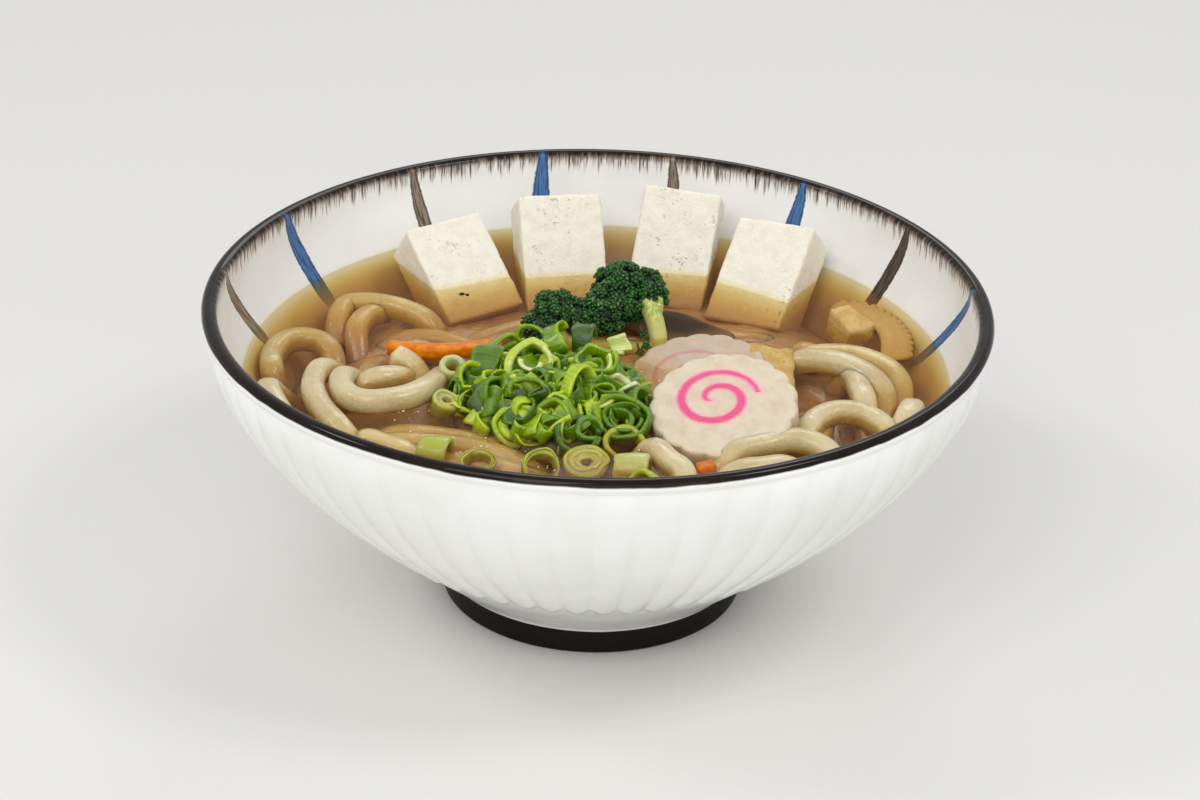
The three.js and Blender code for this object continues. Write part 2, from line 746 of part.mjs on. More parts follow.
function fitPiece(name, shapeOf, material) {
  const box = (solid) => {
    const geometry = toGeometry(solid);
    geometry.computeBoundingBox();
    return { min: geometry.boundingBox.min.toArray(), max: geometry.boundingBox.max.toArray() };
  };
  let solid = shapeOf(0);
  const own = box(solid);
  for (const neighbour of placed) {
    if (boxesMeet(own, neighbour.box)) solid = solid.subtract(neighbour.grown);
  }
  const grown = shapeOf(gap);
  placed.push({ grown, box: box(grown) });
  addMesh(name, toGeometry(solid), material);
}

addMesh('bowl', bowlGeometry(), glaze);

for (const block of tofuBlocks) {
  fitPiece(block.name, (grow) => toSolid(tofuGeometry(block, grow)), tofuFinish);
}
for (const slice of narutoSlices) {
  const strip = toSolid(narutoSwirl(slice, 0, 0));
  addMesh(`${slice.name}_swirl`, toGeometry(strip), pinkFinish);
  const slot = toSolid(narutoSwirl(slice, gap, 1));
  const cake = (grow) => {
    const disc = toSolid(narutoDisc(slice, grow));
    return grow > 0 ? disc : disc.subtract(slot);
  };
  fitPiece(slice.name, cake, cakeFinish);
}
for (const piece of friedPieces) {
  fitPiece(piece.name, (grow) => toSolid(friedGeometry(piece, grow)), friedFinish);
}
for (const piece of carrotPieces) {
  fitPiece(piece.name, (grow) => toSolid(carrotGeometry(piece, grow)), carrotFinish);
}
fitPiece('broccoli', broccoliSolid, broccoliFinish);
fitPiece('scallions', scallionSolid, scallionFinish);
for (const piece of looseScallions) {
  fitPiece(piece.name, (grow) => toSolid(looseGeometry(piece, grow)), scallionFinish);
}
fitPiece('noodles', noodleSolid, noodleFinish);
fitPiece('broth', () => toSolid(brothGeometry()), brothFinish);

export default model;
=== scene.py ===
import random
from math import copysign, cos, hypot, pi, radians, sin, sqrt

import bmesh
import bpy
import numpy as np
from mathutils import Matrix, Vector, noise


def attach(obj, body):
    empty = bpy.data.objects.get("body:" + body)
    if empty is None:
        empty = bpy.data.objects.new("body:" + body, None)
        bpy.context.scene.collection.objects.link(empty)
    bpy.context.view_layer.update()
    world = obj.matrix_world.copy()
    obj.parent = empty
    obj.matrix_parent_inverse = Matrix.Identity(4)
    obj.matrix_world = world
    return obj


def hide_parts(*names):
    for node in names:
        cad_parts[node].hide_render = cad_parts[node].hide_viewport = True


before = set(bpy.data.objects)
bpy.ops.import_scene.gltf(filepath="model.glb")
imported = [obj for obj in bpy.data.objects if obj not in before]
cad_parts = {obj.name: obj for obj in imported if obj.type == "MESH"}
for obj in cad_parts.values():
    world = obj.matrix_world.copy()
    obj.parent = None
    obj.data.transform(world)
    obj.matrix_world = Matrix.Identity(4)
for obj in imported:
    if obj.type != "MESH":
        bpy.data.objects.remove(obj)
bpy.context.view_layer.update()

print("frame loaded:", len(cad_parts), "solids")

mm = 0.001  # all sizes below are millimetres
brothLevel = 65.0
goldenTurn = pi * (3 - sqrt(5))  # spreads points evenly over a disc or a ball
white = (1, 1, 1, 1)


# helpers for meshes; a shape is (points, faces) or (points, faces, {label: value of each point})

def circle(count):
    turns = [2 * pi * k / count for k in range(count)]
    return [(cos(turn), sin(turn)) for turn in turns]


def spun(profile, count):
    # a profile of radii and heights turned round the upright axis
    steps = circle(count)
    return np.array([(radius * c, radius * s, height) for radius, height in profile for c, s in steps])


def ringFaces(rings, count, firstEnd=True, lastEnd=True):
    # joins rings of points, and closes the ends that are wanted
    faces = []
    for start in range(0, (rings - 1) * count, count):
        for k in range(count):
            a, b = start + k, start + (k + 1) % count
            faces.append((a, b, b + count, a + count))
    if firstEnd:
        faces.append(tuple(range(count))[::-1])
    if lastEnd:
        faces.append(tuple(range((rings - 1) * count, rings * count)))
    return faces


def newObject(name, data):
    made = bpy.data.objects.new(name, data)
    bpy.context.scene.collection.objects.link(made)
    return made


def makePiece(name, shape, finish, slot, *nodes):
    points, faces, *marks = shape
    mesh = bpy.data.meshes.new(name)
    mesh.from_pydata((np.asarray(points) * mm).tolist(), [], faces)
    for label, numbers in (marks[0] if marks else {}).items():
        layer = mesh.attributes.new(label, "FLOAT", "POINT")
        layer.data.foreach_set("value", np.asarray(numbers, dtype=np.float32))
    mesh.polygons.foreach_set("use_smooth", [True] * len(mesh.polygons))
    mesh.materials.append(finish)
    mesh.update()
    piece = newObject(name, mesh)
    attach(piece, "root")
    if nodes:
        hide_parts(*nodes)
    return piece


def joinShapes(shapes):
    points, faces, start = [], [], 0
    values = {label: [] for label in (shapes[0][2] if len(shapes[0]) > 2 else ())}
    for corners, sides, *marks in shapes:
        points.append(np.asarray(corners, float))
        faces += [tuple(i + start for i in side) for side in sides]
        for label in values:
            values[label].append(np.broadcast_to(marks[0][label], len(corners)))
        start += len(corners)
    return np.vstack(points), faces, {label: np.concatenate(v) for label, v in values.items()}


def wobble(x, y, z, seed=0):
    return noise.noise(Vector((x + 17.3 * seed, y - 9.1 * seed, z + 4.7 * seed)))


def turned(points, xDegrees=0, yDegrees=0, zDegrees=0, order="XYZ"):
    degrees = {"X": xDegrees, "Y": yDegrees, "Z": zDegrees}
    turn = Matrix.Identity(3)
    for axis in order:
        turn = Matrix.Rotation(radians(degrees[axis]), 3, axis) @ turn
    return np.asarray(points) @ np.array(turn).T


def unit(vectors):
    return vectors / np.linalg.norm(vectors, axis=-1, keepdims=True)


def lengthsAlong(line, power=1.0):
    steps = np.linalg.norm(np.diff(line, axis=0), axis=1) ** power
    return np.concatenate([[0], np.cumsum(steps)])


def smoothLine(points, spacing, between=24):
    # the same curve through the points as the solids have, in even steps
    points = np.array(points, float)
    points = np.vstack([2 * points[0] - points[1], points, 2 * points[-1] - points[-2]])
    line = []
    for i in range(1, len(points) - 2):
        p = points[i - 1:i + 3]
        t = lengthsAlong(p, 0.5)
        for u in np.linspace(t[1], t[2], between, endpoint=False):
            a = [((t[k + 1] - u) * p[k] + (u - t[k]) * p[k + 1]) / (t[k + 1] - t[k]) for k in range(3)]
            b = [((t[k + 2] - u) * a[k] + (u - t[k]) * a[k + 1]) / (t[k + 2] - t[k]) for k in range(2)]
            line.append(((t[2] - u) * b[0] + (u - t[1]) * b[1]) / (t[2] - t[1]))
    line = np.array(line + [points[-2]])
    lengths = lengthsAlong(line)
    places = np.linspace(0, lengths[-1], max(3, int(lengths[-1] / spacing) + 1))
    return np.stack([np.interp(places, lengths, line[:, axis]) for axis in range(3)], axis=1)


def tube(points, width, height, sides=16, spacing=1.2, square=0.75, seed=0, uneven=0.05, tip=1.2):
    # a long piece with a rounded square section and softly rounded ends
    line = smoothLine(points, spacing)
    along = unit(np.gradient(line, axis=0))
    side = unit(np.cross(along, (0, 0, 1)))
    up = np.cross(side, along)
    lengths = lengthsAlong(line)
    rings = []
    for i, spot in enumerate(line):
        fromEnd = min(1.0, min(lengths[i], lengths[-1] - lengths[i]) / tip)
        close = max(0.08, sqrt(max(0.0, 1 - (1 - fromEnd) ** 2)))
        for c, s in circle(sides):
            lump = 1 + uneven * wobble(lengths[i] * 0.11, c * 0.7, s * 0.7, seed)
            x = width / 2 * copysign(abs(c) ** square, c) * lump * close
            y = height / 2 * copysign(abs(s) ** square, s) * lump * close
            rings.append(spot + side[i] * x + up[i] * y)
    return np.array(rings), [face[::-1] for face in ringFaces(len(line), sides)]


def ballShape(detail):
    bm = bmesh.new()
    bmesh.ops.create_icosphere(bm, subdivisions=detail, radius=1)
    points = np.array([corner.co for corner in bm.verts])
    faces = [tuple(corner.index for corner in face.verts) for face in bm.faces]
    bm.free()
    return points, faces


smallBall, ball, largeBall = (ballShape(detail) for detail in (1, 2, 3))


# helpers for finishes: newFinish starts one, and the calls after it add to it

making = {"finish": None}


class Value:
    # what a shader node gives out; arithmetic with it adds the nodes that work it out
    def __init__(self, socket):
        self.socket = socket

    def __add__(self, other):
        return calc("ADD", self, other)

    def __sub__(self, other):
        return calc("SUBTRACT", self, other)

    def __rsub__(self, other):
        return calc("SUBTRACT", other, self)

    def __mul__(self, other):
        return calc("MULTIPLY", self, other)

    def __truediv__(self, other):
        return calc("DIVIDE", self, other)

    def __pow__(self, other):
        return calc("POWER", self, other)


def plug(socket, value):
    if isinstance(value, Value):
        making["finish"].node_tree.links.new(value.socket, socket)
    else:
        socket.default_value = value


def add(kind, inputs=None, out=0, **settings):
    made = making["finish"].node_tree.nodes.new("ShaderNode" + kind)
    for label, value in settings.items():
        setattr(made, label, value)
    for label, value in (inputs or {}).items():
        plug(made.inputs[label], value)
    return Value(made.outputs[out])


def mainInputs():
    return making["finish"].node_tree.nodes["Principled BSDF"].inputs


def newFinish(name, roughness=0.5, soft=(), **settings):
    # soft is how much light goes in, how far in metres, and the share of that for red, green and blue
    finish = making["finish"] = bpy.data.materials.new(name)
    finish.use_nodes = True
    softLabels = ("Subsurface_Weight", "Subsurface_Scale", "Subsurface_Radius")
    settings.update(zip(softLabels, soft), Roughness=roughness)
    for label, value in settings.items():
        mainInputs()[label.replace("_", " ")].default_value = value
    return finish


def calc(operation, first, second=0.0):
    return add("Math", {0: first, 1: second}, operation=operation)


def blend(share, first, second, kind="MIX"):
    return add("Mix", {0: share, 6: first, 7: second}, 2, data_type="RGBA", blend_type=kind)


def fade(value, low, high, fromValue=0.0, toValue=1.0):
    ends = {"From Min": low, "From Max": high, "To Min": fromValue, "To Max": toValue}
    return add("MapRange", {"Value": value, **ends}, interpolation_type="SMOOTHSTEP")


def place():
    return add("TexCoord", out="Object")


def heightHere():
    return add("SeparateXYZ", {0: place()}, 2) / mm


def grain(size, detail=3.0, roughness=0.5, stretch=(1, 1, 1), at=None):
    # size is that of one feature in millimetres
    where = add("Mapping", {"Vector": at or place(), "Scale": stretch})
    looks = {"Scale": 1 / (size * mm), "Detail": detail, "Roughness": roughness}
    return add("TexNoise", {"Vector": where, **looks}, "Fac")


def mottled(first, second, size, detail, low, high, share=1.0, **more):
    # patches of the second colour over the first
    return blend(fade(grain(size, detail, **more), low, high, 0.0, share), first, second)


def marked(label):
    return add("Attribute", out="Fac", attribute_name=label)


def colour(red, green, blue):
    # screen colour, 0 to 255, as light
    return tuple(((c / 255 + 0.055) / 1.055) ** 2.4 if c > 10 else c / 255 / 12.92
                 for c in (red, green, blue)) + (1.0,)


def dimmed(shade, share):
    return tuple(share * c for c in shade[:3]) + (1.0,)


def bumped(height, depth):
    return add("Bump", {"Height": height, "Distance": depth * mm, "Strength": 1.0})


def finished(shown, height=None, depth=0.0):
    # the colour, and the relief with its depth, go to the main shader
    plug(mainInputs()["Base Color"], shown)
    if height is not None:
        plug(mainInputs()["Normal"], bumped(height, depth))
    return making["finish"]


def surfaceOnly(shader):
    # a shader in place of the main one
    nodes = making["finish"].node_tree.nodes
    plug(nodes["Material Output"].inputs["Surface"], shader)
    nodes.remove(nodes["Principled BSDF"])
    return making["finish"]


brothLook = {
    "murk": (0.42, 0.213, 0.08, 1.0), "murk2": colour(118, 80, 54),  # what the depth fades into
    "murkDepth": 6.6,
    "loss": (0.015, 0.088, 0.4),  # share of red, green and blue lost for each millimetre
    "veil": 0.07, "veilColour": (0.25, 0.13, 0.058, 1.0),  # the cloudy film over all that is sunk
    "mirror": 0.22, "ripple": 0.25,
    "tint": (0.995, 0.98, 0.95, 1.0),
}


def sunk(shown, only=None, wet=0.5):
    # what lies under the broth turns golden, then fades into the murk; wet is how far it climbs
    depth = calc("MAXIMUM", brothLevel + wet - heightHere())
    if only is not None:
        depth = depth * only
    kept = [calc("EXPONENT", depth * -loss) for loss in brothLook["loss"]]
    golden = blend(1.0, shown, add("CombineColor", dict(enumerate(kept))), "MULTIPLY")
    clear = calc("EXPONENT", (depth / brothLook["murkDepth"]) ** 2.0 * -1.0)
    return blend(clear, brothLook["murk"], golden)


# camera, floor and light

viewpoint = {
    "distance": 798.14, "elevation": 24.78, "aboveFloor": 86.1,
    "lens": 90, "sensor": 36, "sightMetres": 20,
    "pan": -0.08, "tilt": -2.0, "roll": -1.51,
}


def setCamera():
    elevation = radians(viewpoint["elevation"])
    forward = Vector((0, cos(elevation), -sin(elevation)))
    right = Vector((1, 0, 0))
    spot = -forward * viewpoint["distance"] + Vector((0, 0, viewpoint["aboveFloor"]))
    axes = [right, right.cross(forward), forward]
    for name, axis in (("pan", 1), ("tilt", 0), ("roll", 2)):
        turn = Matrix.Rotation(radians(viewpoint[name]), 3, axes[axis])
        axes = [turn @ direction for direction in axes]
    lens = bpy.data.cameras.new("camera")
    lens.lens = viewpoint["lens"]
    lens.sensor_width = viewpoint["sensor"]
    lens.clip_end = viewpoint["sightMetres"]
    camera = newObject("camera", lens)
    turn = Matrix((axes[0], axes[1], -axes[2])).transposed().to_4x4()
    camera.matrix_world = Matrix.Translation(spot * mm) @ turn
    bpy.context.scene.camera = camera


studio = {
    "floor": colour(222, 221, 218), "floorReach": 6,
    "sky": 0.62,
    "lamps": [  # place, size and power
        ((-0.45, -0.95, 1.15), 0.8, 5.8), ((0.1, -1.3, 0.3), 1.2, 4.0), ((0.7, -0.3, 1.1), 0.36, 3.4),
        ((0.15, 1.1, 0.95), 0.5, 2.2), ((-0.9, -0.02, 0.95), 0.24, 1.8),
    ],
}


def setStudio():
    world = bpy.data.worlds.new("room")
    bpy.context.scene.world = world
    world.use_nodes = True
    sky = world.node_tree.nodes["Background"].inputs
    sky[0].default_value = white
    sky[1].default_value = studio["sky"]
    for number, (spot, size, power) in enumerate(studio["lamps"]):
        light = bpy.data.lights.new(f"lamp{number}", "AREA")
        light.size = size
        light.energy = power
        lamp = newObject(f"lamp{number}", light)
        lamp.location = spot
        lamp.rotation_euler = (-Vector(spot)).to_track_quat("-Z", "Y").to_euler()
    mesh = bpy.data.meshes.new("floor")
    corners = [(x * studio["floorReach"], y * studio["floorReach"], 0)
               for x, y in ((-1, -1), (1, -1), (1, 1), (-1, 1))]
    mesh.from_pydata(corners, [], [(0, 1, 2, 3)])
    mesh.materials.append(newFinish("floorPaper", 0.8, Base_Color=studio["floor"]))
    floor = newObject("floor", mesh)
    bpy.context.scene.view_settings.view_transform = "Standard"


setCamera()
setStudio()
print("camera, floor and light are set")


# the bowl

bowl = {
    "rimRadius": 105.0, "height": 86.0, "wallTop": 82.0, "lipOverhang": 0.6, "wallThickness": 3.6,
    "footRadius": 41.3, "footHeight": 6.6, "footRingWidth": 5.6, "footRecess": 4.6,
    "floorHeight": 10.6, "floorRadius": 30.0,
    "flutes": 60, "fluteDepth": 0.8, "fluteLowEnd": 24.5, "fluteArchRise": 4.0, "columnsEachFlute": 12,
    "darkLip": 1.4,  # how far the dark glaze runs down outside
    "white": colour(244, 244, 242), "white2": colour(237, 237, 234),
    "dark": colour(30, 22, 18), "lip": colour(19, 12, 8), "lip2": colour(31, 21, 16),
    "foot": colour(26, 21, 19), "foot2": colour(24, 19, 19),
    "fringeTip": colour(190, 176, 158), "fringeMiddle": colour(108, 88, 72),
    "fringeLength": 3.6, "fringeTeeth": 5.4,
    # strokes: outline, middle, hairs, and how sparse the hairs are
    "brown": (colour(72, 56, 46), colour(146, 132, 116), colour(92, 75, 62), 0.62),
    "blue": (colour(30, 66, 116), colour(78, 118, 168), colour(42, 80, 132), 0.64),
    "strokeTop": 84.5, "taper": ([0, 0.12, 0.4, 0.9, 1.0, 1.15], [0.5, 0.72, 1, 0.95, 0.45, -0.6]),
}
# brush strokes inside: direction at the top and at the lower end (degrees, from the far side towards
# the right), height of the lower end, width, and 1 where the stroke is blue, -1 where it is dark brown
strokes = [
    (-84, -79, 60.5, 5.4, 0), (-60.5, -57, 57.5, 5.4, 1), (-33, -31, 56, 4.4, 0), (-10, -11, 57, 5.4, 1),
    (12, 13, 57, 4.4, 0), (35.5, 33.5, 57, 5.0, 1), (59, 56, 57.5, 5.0, -1), (84, 76.5, 57.5, 4.6, 1),
    (105, 101, 59, 4.0, 0), (127, 124, 57, 5.0, 1), (149, 147, 60, 4.0, 0), (171, 172, 58, 5.2, 1),
    (194, 196, 59, 4.0, 0), (216, 219, 57.5, 5.0, 1), (238, 241, 60, 4.2, 0), (258, 262, 58, 5.0, 1),
]
noStroke = -5.0


def wallRadius(height):
    part = min(1.0, max(0.0, (height - bowl["footHeight"]) / (bowl["wallTop"] - bowl["footHeight"])))
    spread = bowl["rimRadius"] - bowl["lipOverhang"] - bowl["footRadius"]
    return bowl["footRadius"] + spread * (1 - (1 - part) ** 1.7) ** 1.12


def insideRadius(height):
    step = 0.05
    low, high = bowl["footHeight"] + step, bowl["height"]
    for _ in range(40):
        outer = (low + high) / 2
        slope = (wallRadius(outer + step) - wallRadius(outer - step)) / (2 * step)
        length = hypot(1, slope)
        inset = wallRadius(outer) - bowl["wallThickness"] / length
        if outer + bowl["wallThickness"] * slope / length < height:
            low = outer
        else:
            high = outer
    return inset


def bowlFinish(name, shine, coat):
    newFinish(name, Specular_IOR_Level=shine, Coat_Weight=coat, Coat_Roughness=0.03)
    x, y, z = (add("SeparateXYZ", {0: place()}, axis) for axis in range(3))
    fromRim = marked("fromRim")
    # the direction round the bowl, with nothing of the height in it
    around = add("VectorMath", {0: add("CombineXYZ", {0: x, 1: y})}, operation="NORMALIZE")
    around = add("VectorMath", {0: around, "Scale": bowl["rimRadius"] * mm}, operation="SCALE")
    shown = mottled(bowl["white"], bowl["white2"], 26, 2, 0.35, 0.7)

    # brush strokes: a darker outline, a paler streaky middle
    inside = marked("strokeInside") + (grain(1.1, 3) - 0.5) * 0.7
    hair = grain(0.6, 2, stretch=(1, 0.08, 1), at=add("CombineXYZ", {0: marked("strokeOffset") * mm, 1: z}))
    edge = fade(inside, 0.2, 1.0)
    brown, blue = (blend(fade(hair, 0.46, sparse), blend(edge, outline, middle), streak)
                   for outline, middle, streak, sparse in (bowl["brown"], bowl["blue"]))
    isBlue = marked("strokeBlue")
    paint = blend(fade(isBlue, -0.1, -0.9, 0.0, 0.7), blend(isBlue, brown, blue), bowl["dark"])

    # the fringe: brushed hairs of dark glaze that run down from the lip
    teeth = fade(grain(1.5, 3, 0.7, at=around), 0.34, 0.72)
    fine = grain(0.55, 2, 0.6, at=around)
    reach = (teeth * bowl["fringeTeeth"] + bowl["fringeLength"]
             + (grain(30, 1, at=around) - 0.5) * 3.0 + (fine - 0.5) * 3.2)
    left = reach - fromRim
    brush = blend(fade(left, 0.2, 2.6), bowl["fringeTip"], bowl["fringeMiddle"])
    brush = blend(fade(left, 2.2, 5.2), brush, bowl["dark"])
    isInside = fade(fromRim, 0.2, 0.6)
    dense = calc("MAXIMUM", fade(fine, 0.62, 0.40, 0.2, 1.0), fade(fromRim, 4.5, 1.6))
    shown = blend(fade(left, -0.6, 1.9) * isInside * dense, shown, brush)
    shown = blend(fade(inside, -0.15, 0.35), shown, paint)

    # dark lip and foot
    ragged = grain(9, 2) * 0.7
    lipLow = -bowl["darkLip"]
    lip = fade(fromRim + ragged, lipLow, lipLow + 0.5) * fade(fromRim + ragged, 2.2, 1.2)
    shown = blend(lip, shown, mottled(bowl["lip"], bowl["lip2"], 12, 2, 0.4, 0.7, at=around))
    foot = fade(z / mm + ragged, 7.6, 7.2)
    shown = blend(foot, shown, blend(grain(5, 3), bowl["foot"], bowl["foot2"]))
    plug(mainInputs()["Roughness"], fade(foot, 0, 1, 0.14, 0.38) + grain(18, 2) * 0.08)
    return finished(sunk(shown, isInside, 1.0), grain(14, 2), 0.25)


def bowlRows(fromGroove):
    # radius and height of each ring of points, and the length along the wall from the lip's top
    top, foot, recess, floor = bowl["height"], bowl["footRadius"], bowl["footRecess"], bowl["floorHeight"]
    ring = foot - bowl["footRingWidth"]
    rows = [(radius, height, -200.0) for radius, height in (
        (0.02, recess), (18, recess), (ring - 1, recess), (ring - 0.3, 0.8), (ring + 0.2, 0), (foot - 0.8, 0),
        (foot - 0.2, 0.3), (foot, 0.9), (foot, 3), (foot, 5.8))]
    ribShape = 1 - (1 - fromGroove) ** 2.3
    lowEnds = bowl["fluteLowEnd"] + bowl["fluteArchRise"] * (1 - fromGroove) ** 1.6
    for height in (*np.linspace(6.6, 22.5, 9), *np.linspace(23.5, 31, 16), *np.linspace(33, 82, 30)):
        raised = np.clip((height - lowEnds) / 1.1, 0, 1)
        raised = raised * raised * (3 - 2 * raised) * np.interp(height, [62, 79, 82], [1, 0.5, 0])
        rows.append((wallRadius(height) + bowl["fluteDepth"] * ribShape * raised, height, height - top - 0.6))
    outer, inner = bowl["rimRadius"], bowl["rimRadius"] - bowl["lipOverhang"] - bowl["wallThickness"]
    middle = (outer + inner) / 2
    lip = [(outer - 0.6, 82.3, 0), (outer, 84, 0), (middle + 1.3, 85.75, 0), (middle - 0.4, 86, 0),
           (inner + 0.2, 85.2, 0), (inner, 84.2, 0)]
    for radius, height, _ in smoothLine(lip, 0.55):
        rows.append((radius, height, height - top if radius > middle else top - height + 0.9))
    for height in (*np.linspace(83.4, 56, 40), *np.linspace(53, 20, 9)):
        rows.append((insideRadius(height), height, (top - height) * 1.08 + 0.9))
    return rows + [(bowl["floorRadius"], floor + 0.5, 80.0), (0.02, floor, 90.0)]


def makeBowl():
    columns = bowl["columnsEachFlute"]
    count = bowl["flutes"] * columns
    turns = np.arange(count) * 2 * pi / count
    rows = bowlRows(np.abs((np.arange(count) / columns + 0.5) % 1 - 0.5) * 2)
    bearing = (90 - np.degrees(turns) + 180) % 360 - 180  # from the far side towards the right
    points, marks = [], []
    for radius, height, distance in rows:
        points.append(np.transpose([radius * np.cos(turns), radius * np.sin(turns), np.full(count, height)]))
        best = np.full(count, 1e9)
        nearest = np.zeros((3, count))  # how far from its middle line and from its edge, and which colour
        for top, low, lowHeight, width, isBlue in strokes:
            down = (bowl["strokeTop"] - height) / (bowl["strokeTop"] - lowHeight)
            direction = top + (low - top) * down
            apart = ((bearing - direction + 180) % 360 - 180) * radians(1) * radius
            inside = width / 2 * np.interp(down, *bowl["taper"]) - np.abs(apart)
            inside = np.maximum(inside, noStroke) if distance > 0 else np.full(count, noStroke)
            closer = np.abs(apart) < best
            best = np.where(closer, np.abs(apart), best)
            nearest = np.where(closer, [apart, inside, np.full(count, isBlue)], nearest)
        marks.append([np.full(count, distance), *nearest])
    labels = ("fromRim", "strokeOffset", "strokeInside", "strokeBlue")
    shape = (np.vstack(points), ringFaces(len(rows), count), dict(zip(labels, np.concatenate(marks, axis=1))))
    piece = makePiece("bowl", shape, bowlFinish("bowlGlaze", 0.2, 0.06), "glaze", "bowl")
    piece.data.materials.append(bowlFinish("bowlLipGlaze", 0.04, 0.35))
    piece.data.materials.append(bowlFinish("bowlFootGlaze", 0.04, 0.14))
    for index, face in enumerate(piece.data.polygons):
        _, height, distance = rows[min(index // count, len(rows) - 1)]
        if -bowl["darkLip"] - 0.8 < distance < 2.6:
            face.material_index = 1
        elif height < bowl["footHeight"]:
            face.material_index = 2


makeBowl()
print("bowl is made")


# tofu blocks

tofu = {
    "blocks": [  # node, place, facing, lean and roll in degrees, width and depth, height over the broth
        ("tofu_1", (-35.7, 51.3), -28, 52, -5, (24, 15), 21.5),
        ("tofu_2", (-9.4, 58.3), -12, 36, 1, (24, 17), 24),
        ("tofu_3", (20, 62), 8, 32, 4, (22.5, 16), 24.7),
        ("tofu_4", (43.4, 50.5), 34, 48, -7, (24, 13.5), 23),
    ],
    "below": 10, "step": 0.7, "worn": 0.8, "uneven": 0.22,
    "pale": colour(239, 234, 219), "deep": colour(232, 226, 207), "pitShade": colour(208, 190, 150),
}


def tofuFinish():
    newFinish("tofuCurd", 0.55, (0.15, 0.002, (1.0, 0.75, 0.45)))
    shown = mottled(tofu["pale"], tofu["deep"], 3.2, 4, 0.38, 0.68)
    # the pits are painted darker and yellower as well as sunk in the relief: painted shade in the hollows
    holes = fade(grain(1.1, 2), 0.62, 0.70) * fade(grain(8, 2), 0.52, 0.66)
    shown = blend(holes * 0.5, shown, tofu["pitShade"])
    return finished(sunk(shown, wet=1.3), grain(0.9, 3, 0.6) - holes, 0.3)


def boxShape(size, spacing, worn, uneven, seed):
    # a block of fine squares with slightly worn edges and an uneven cut surface
    counts = [max(2, int(round(side / spacing))) for side in size]
    points, faces, found = [], [], {}

    def corner(key):
        if key not in found:
            found[key] = len(points)
            unit = [2 * k / n - 1 for k, n in zip(key, counts)]
            inset = [side / 2 * (1 - abs(share)) for side, share in zip(size, unit)]
            spot = []
            for axis, share in enumerate(unit):
                reach = size[axis] / 2 * abs(share)
                if abs(share) == 1:
                    reach -= 0.3 * max(0.0, worn - min(inset[:axis] + inset[axis + 1:]))
                spot.append(copysign(reach, share))
            wide = [0.22 * x for x in spot]
            lumps = [wobble(*wide, k) + 0.35 * wobble(*spot, k + 1) for k in range(seed, seed + 9, 3)]
            points.append([x + uneven * lump for x, lump in zip(spot, lumps)])
        return found[key]

    for axis in range(3):
        u, v = (axis + 1) % 3, (axis + 2) % 3
        for end in (0, counts[axis]):
            for i in range(counts[u]):
                for j in range(counts[v]):
                    keys = []
                    for across, along in ((i, j), (i + 1, j), (i + 1, j + 1), (i, j + 1)):
                        key = [end] * 3
                        key[u], key[v] = across, along
                        keys.append(corner(tuple(key)))
                    faces.append(tuple(keys if end else keys[::-1]))
    return np.array(points), faces


def makeTofu():
    finish = tofuFinish()
    for number, (node, at, facing, lean, roll, (width, depth), above) in enumerate(tofu["blocks"]):
        size = (width, depth, above + tofu["below"])
        points, faces = boxShape(size, tofu["step"], tofu["worn"], tofu["uneven"], 5 * number + 2)
        points += (0, depth / 2, (above - tofu["below"]) / 2)
        points = turned(points, -lean, roll, -facing, order="YXZ") + (*at, brothLevel)
        makePiece(f"tofuBlock{number + 1}", (points, faces), finish, "tofu", node)


makeTofu()
print("tofu is made")


# fish cake slices with a pink swirl

cake = {
    "radius": 19.5, "thickness": 6.0, "edge": 0.9,
    "scallops": 17, "scallopDepth": 0.9, "columnsEachScallop": 14,
    "swirlCentre": (-1.8, 1.7), "swirlStart": 200, "swirlTurn": 550,
    "swirlRadii": (1.2, 11), "swirlWidth": 2.8,
    "cream": colour(218, 205, 181), "cream2": colour(206, 190, 163),
    "pink": colour(228, 84, 134), "palePink": colour(238, 176, 184),
    "soaked": colour(176, 144, 124),
}
slices = [  # node, centre, turns about X, Y and Z in degrees, width of the swirl, and how faint it is
    ("naruto_front", (33, -32, 71), (17, -6, 0), 1.1, 0),
    ("naruto_back", (27, -5.3, 65.2), (12, -8, 14), 0.6, 0.55),
]


def cakeFinish(name, faint):
    newFinish(name, 0.38, (0.2, 0.002, (1.0, 0.7, 0.5)))
    shown = mottled(cake["cream"], cake["cream2"], 4, 4, 0.3, 0.75)
    shown = blend(fade(marked("nearSwirl"), 3.0, 0.8, 0.0, 0.6), shown, cake["palePink"])
    return finished(sunk(blend(faint, shown, cake["soaked"]), wet=0.5 + faint), grain(1.6, 4), 0.22)


def swirlFinish(name, faint):
    newFinish(name, 0.38, (0.2, 0.002))
    inward = marked("inward") + (grain(0.9, 3) - 0.5) * 0.5
    shown = blend(fade(inward, 0.0, 0.95), cake["palePink"], cake["pink"])
    return finished(sunk(blend(faint, shown, cake["soaked"]), wet=0.5 + faint), grain(1.6, 4), 0.2)


def swirlLine(steps):
    # middle, direction outwards and half width at each step
    (x, y), (least, most), line = cake["swirlCentre"], cake["swirlRadii"], []
    for part in np.arange(steps + 1) / steps:
        angle = radians(cake["swirlStart"] - cake["swirlTurn"] * part)
        radius = least + (most - least) * part ** 0.62
        half = cake["swirlWidth"] / 2 * (0.6 + 0.45 * sin(pi * part) ** 0.7)
        line.append((x + radius * cos(angle), y + radius * sin(angle), angle, half))
    return line


def cakeLump(x, y, height):
    return height + 0.16 * wobble(x * 0.25, y * 0.25, height, 3)


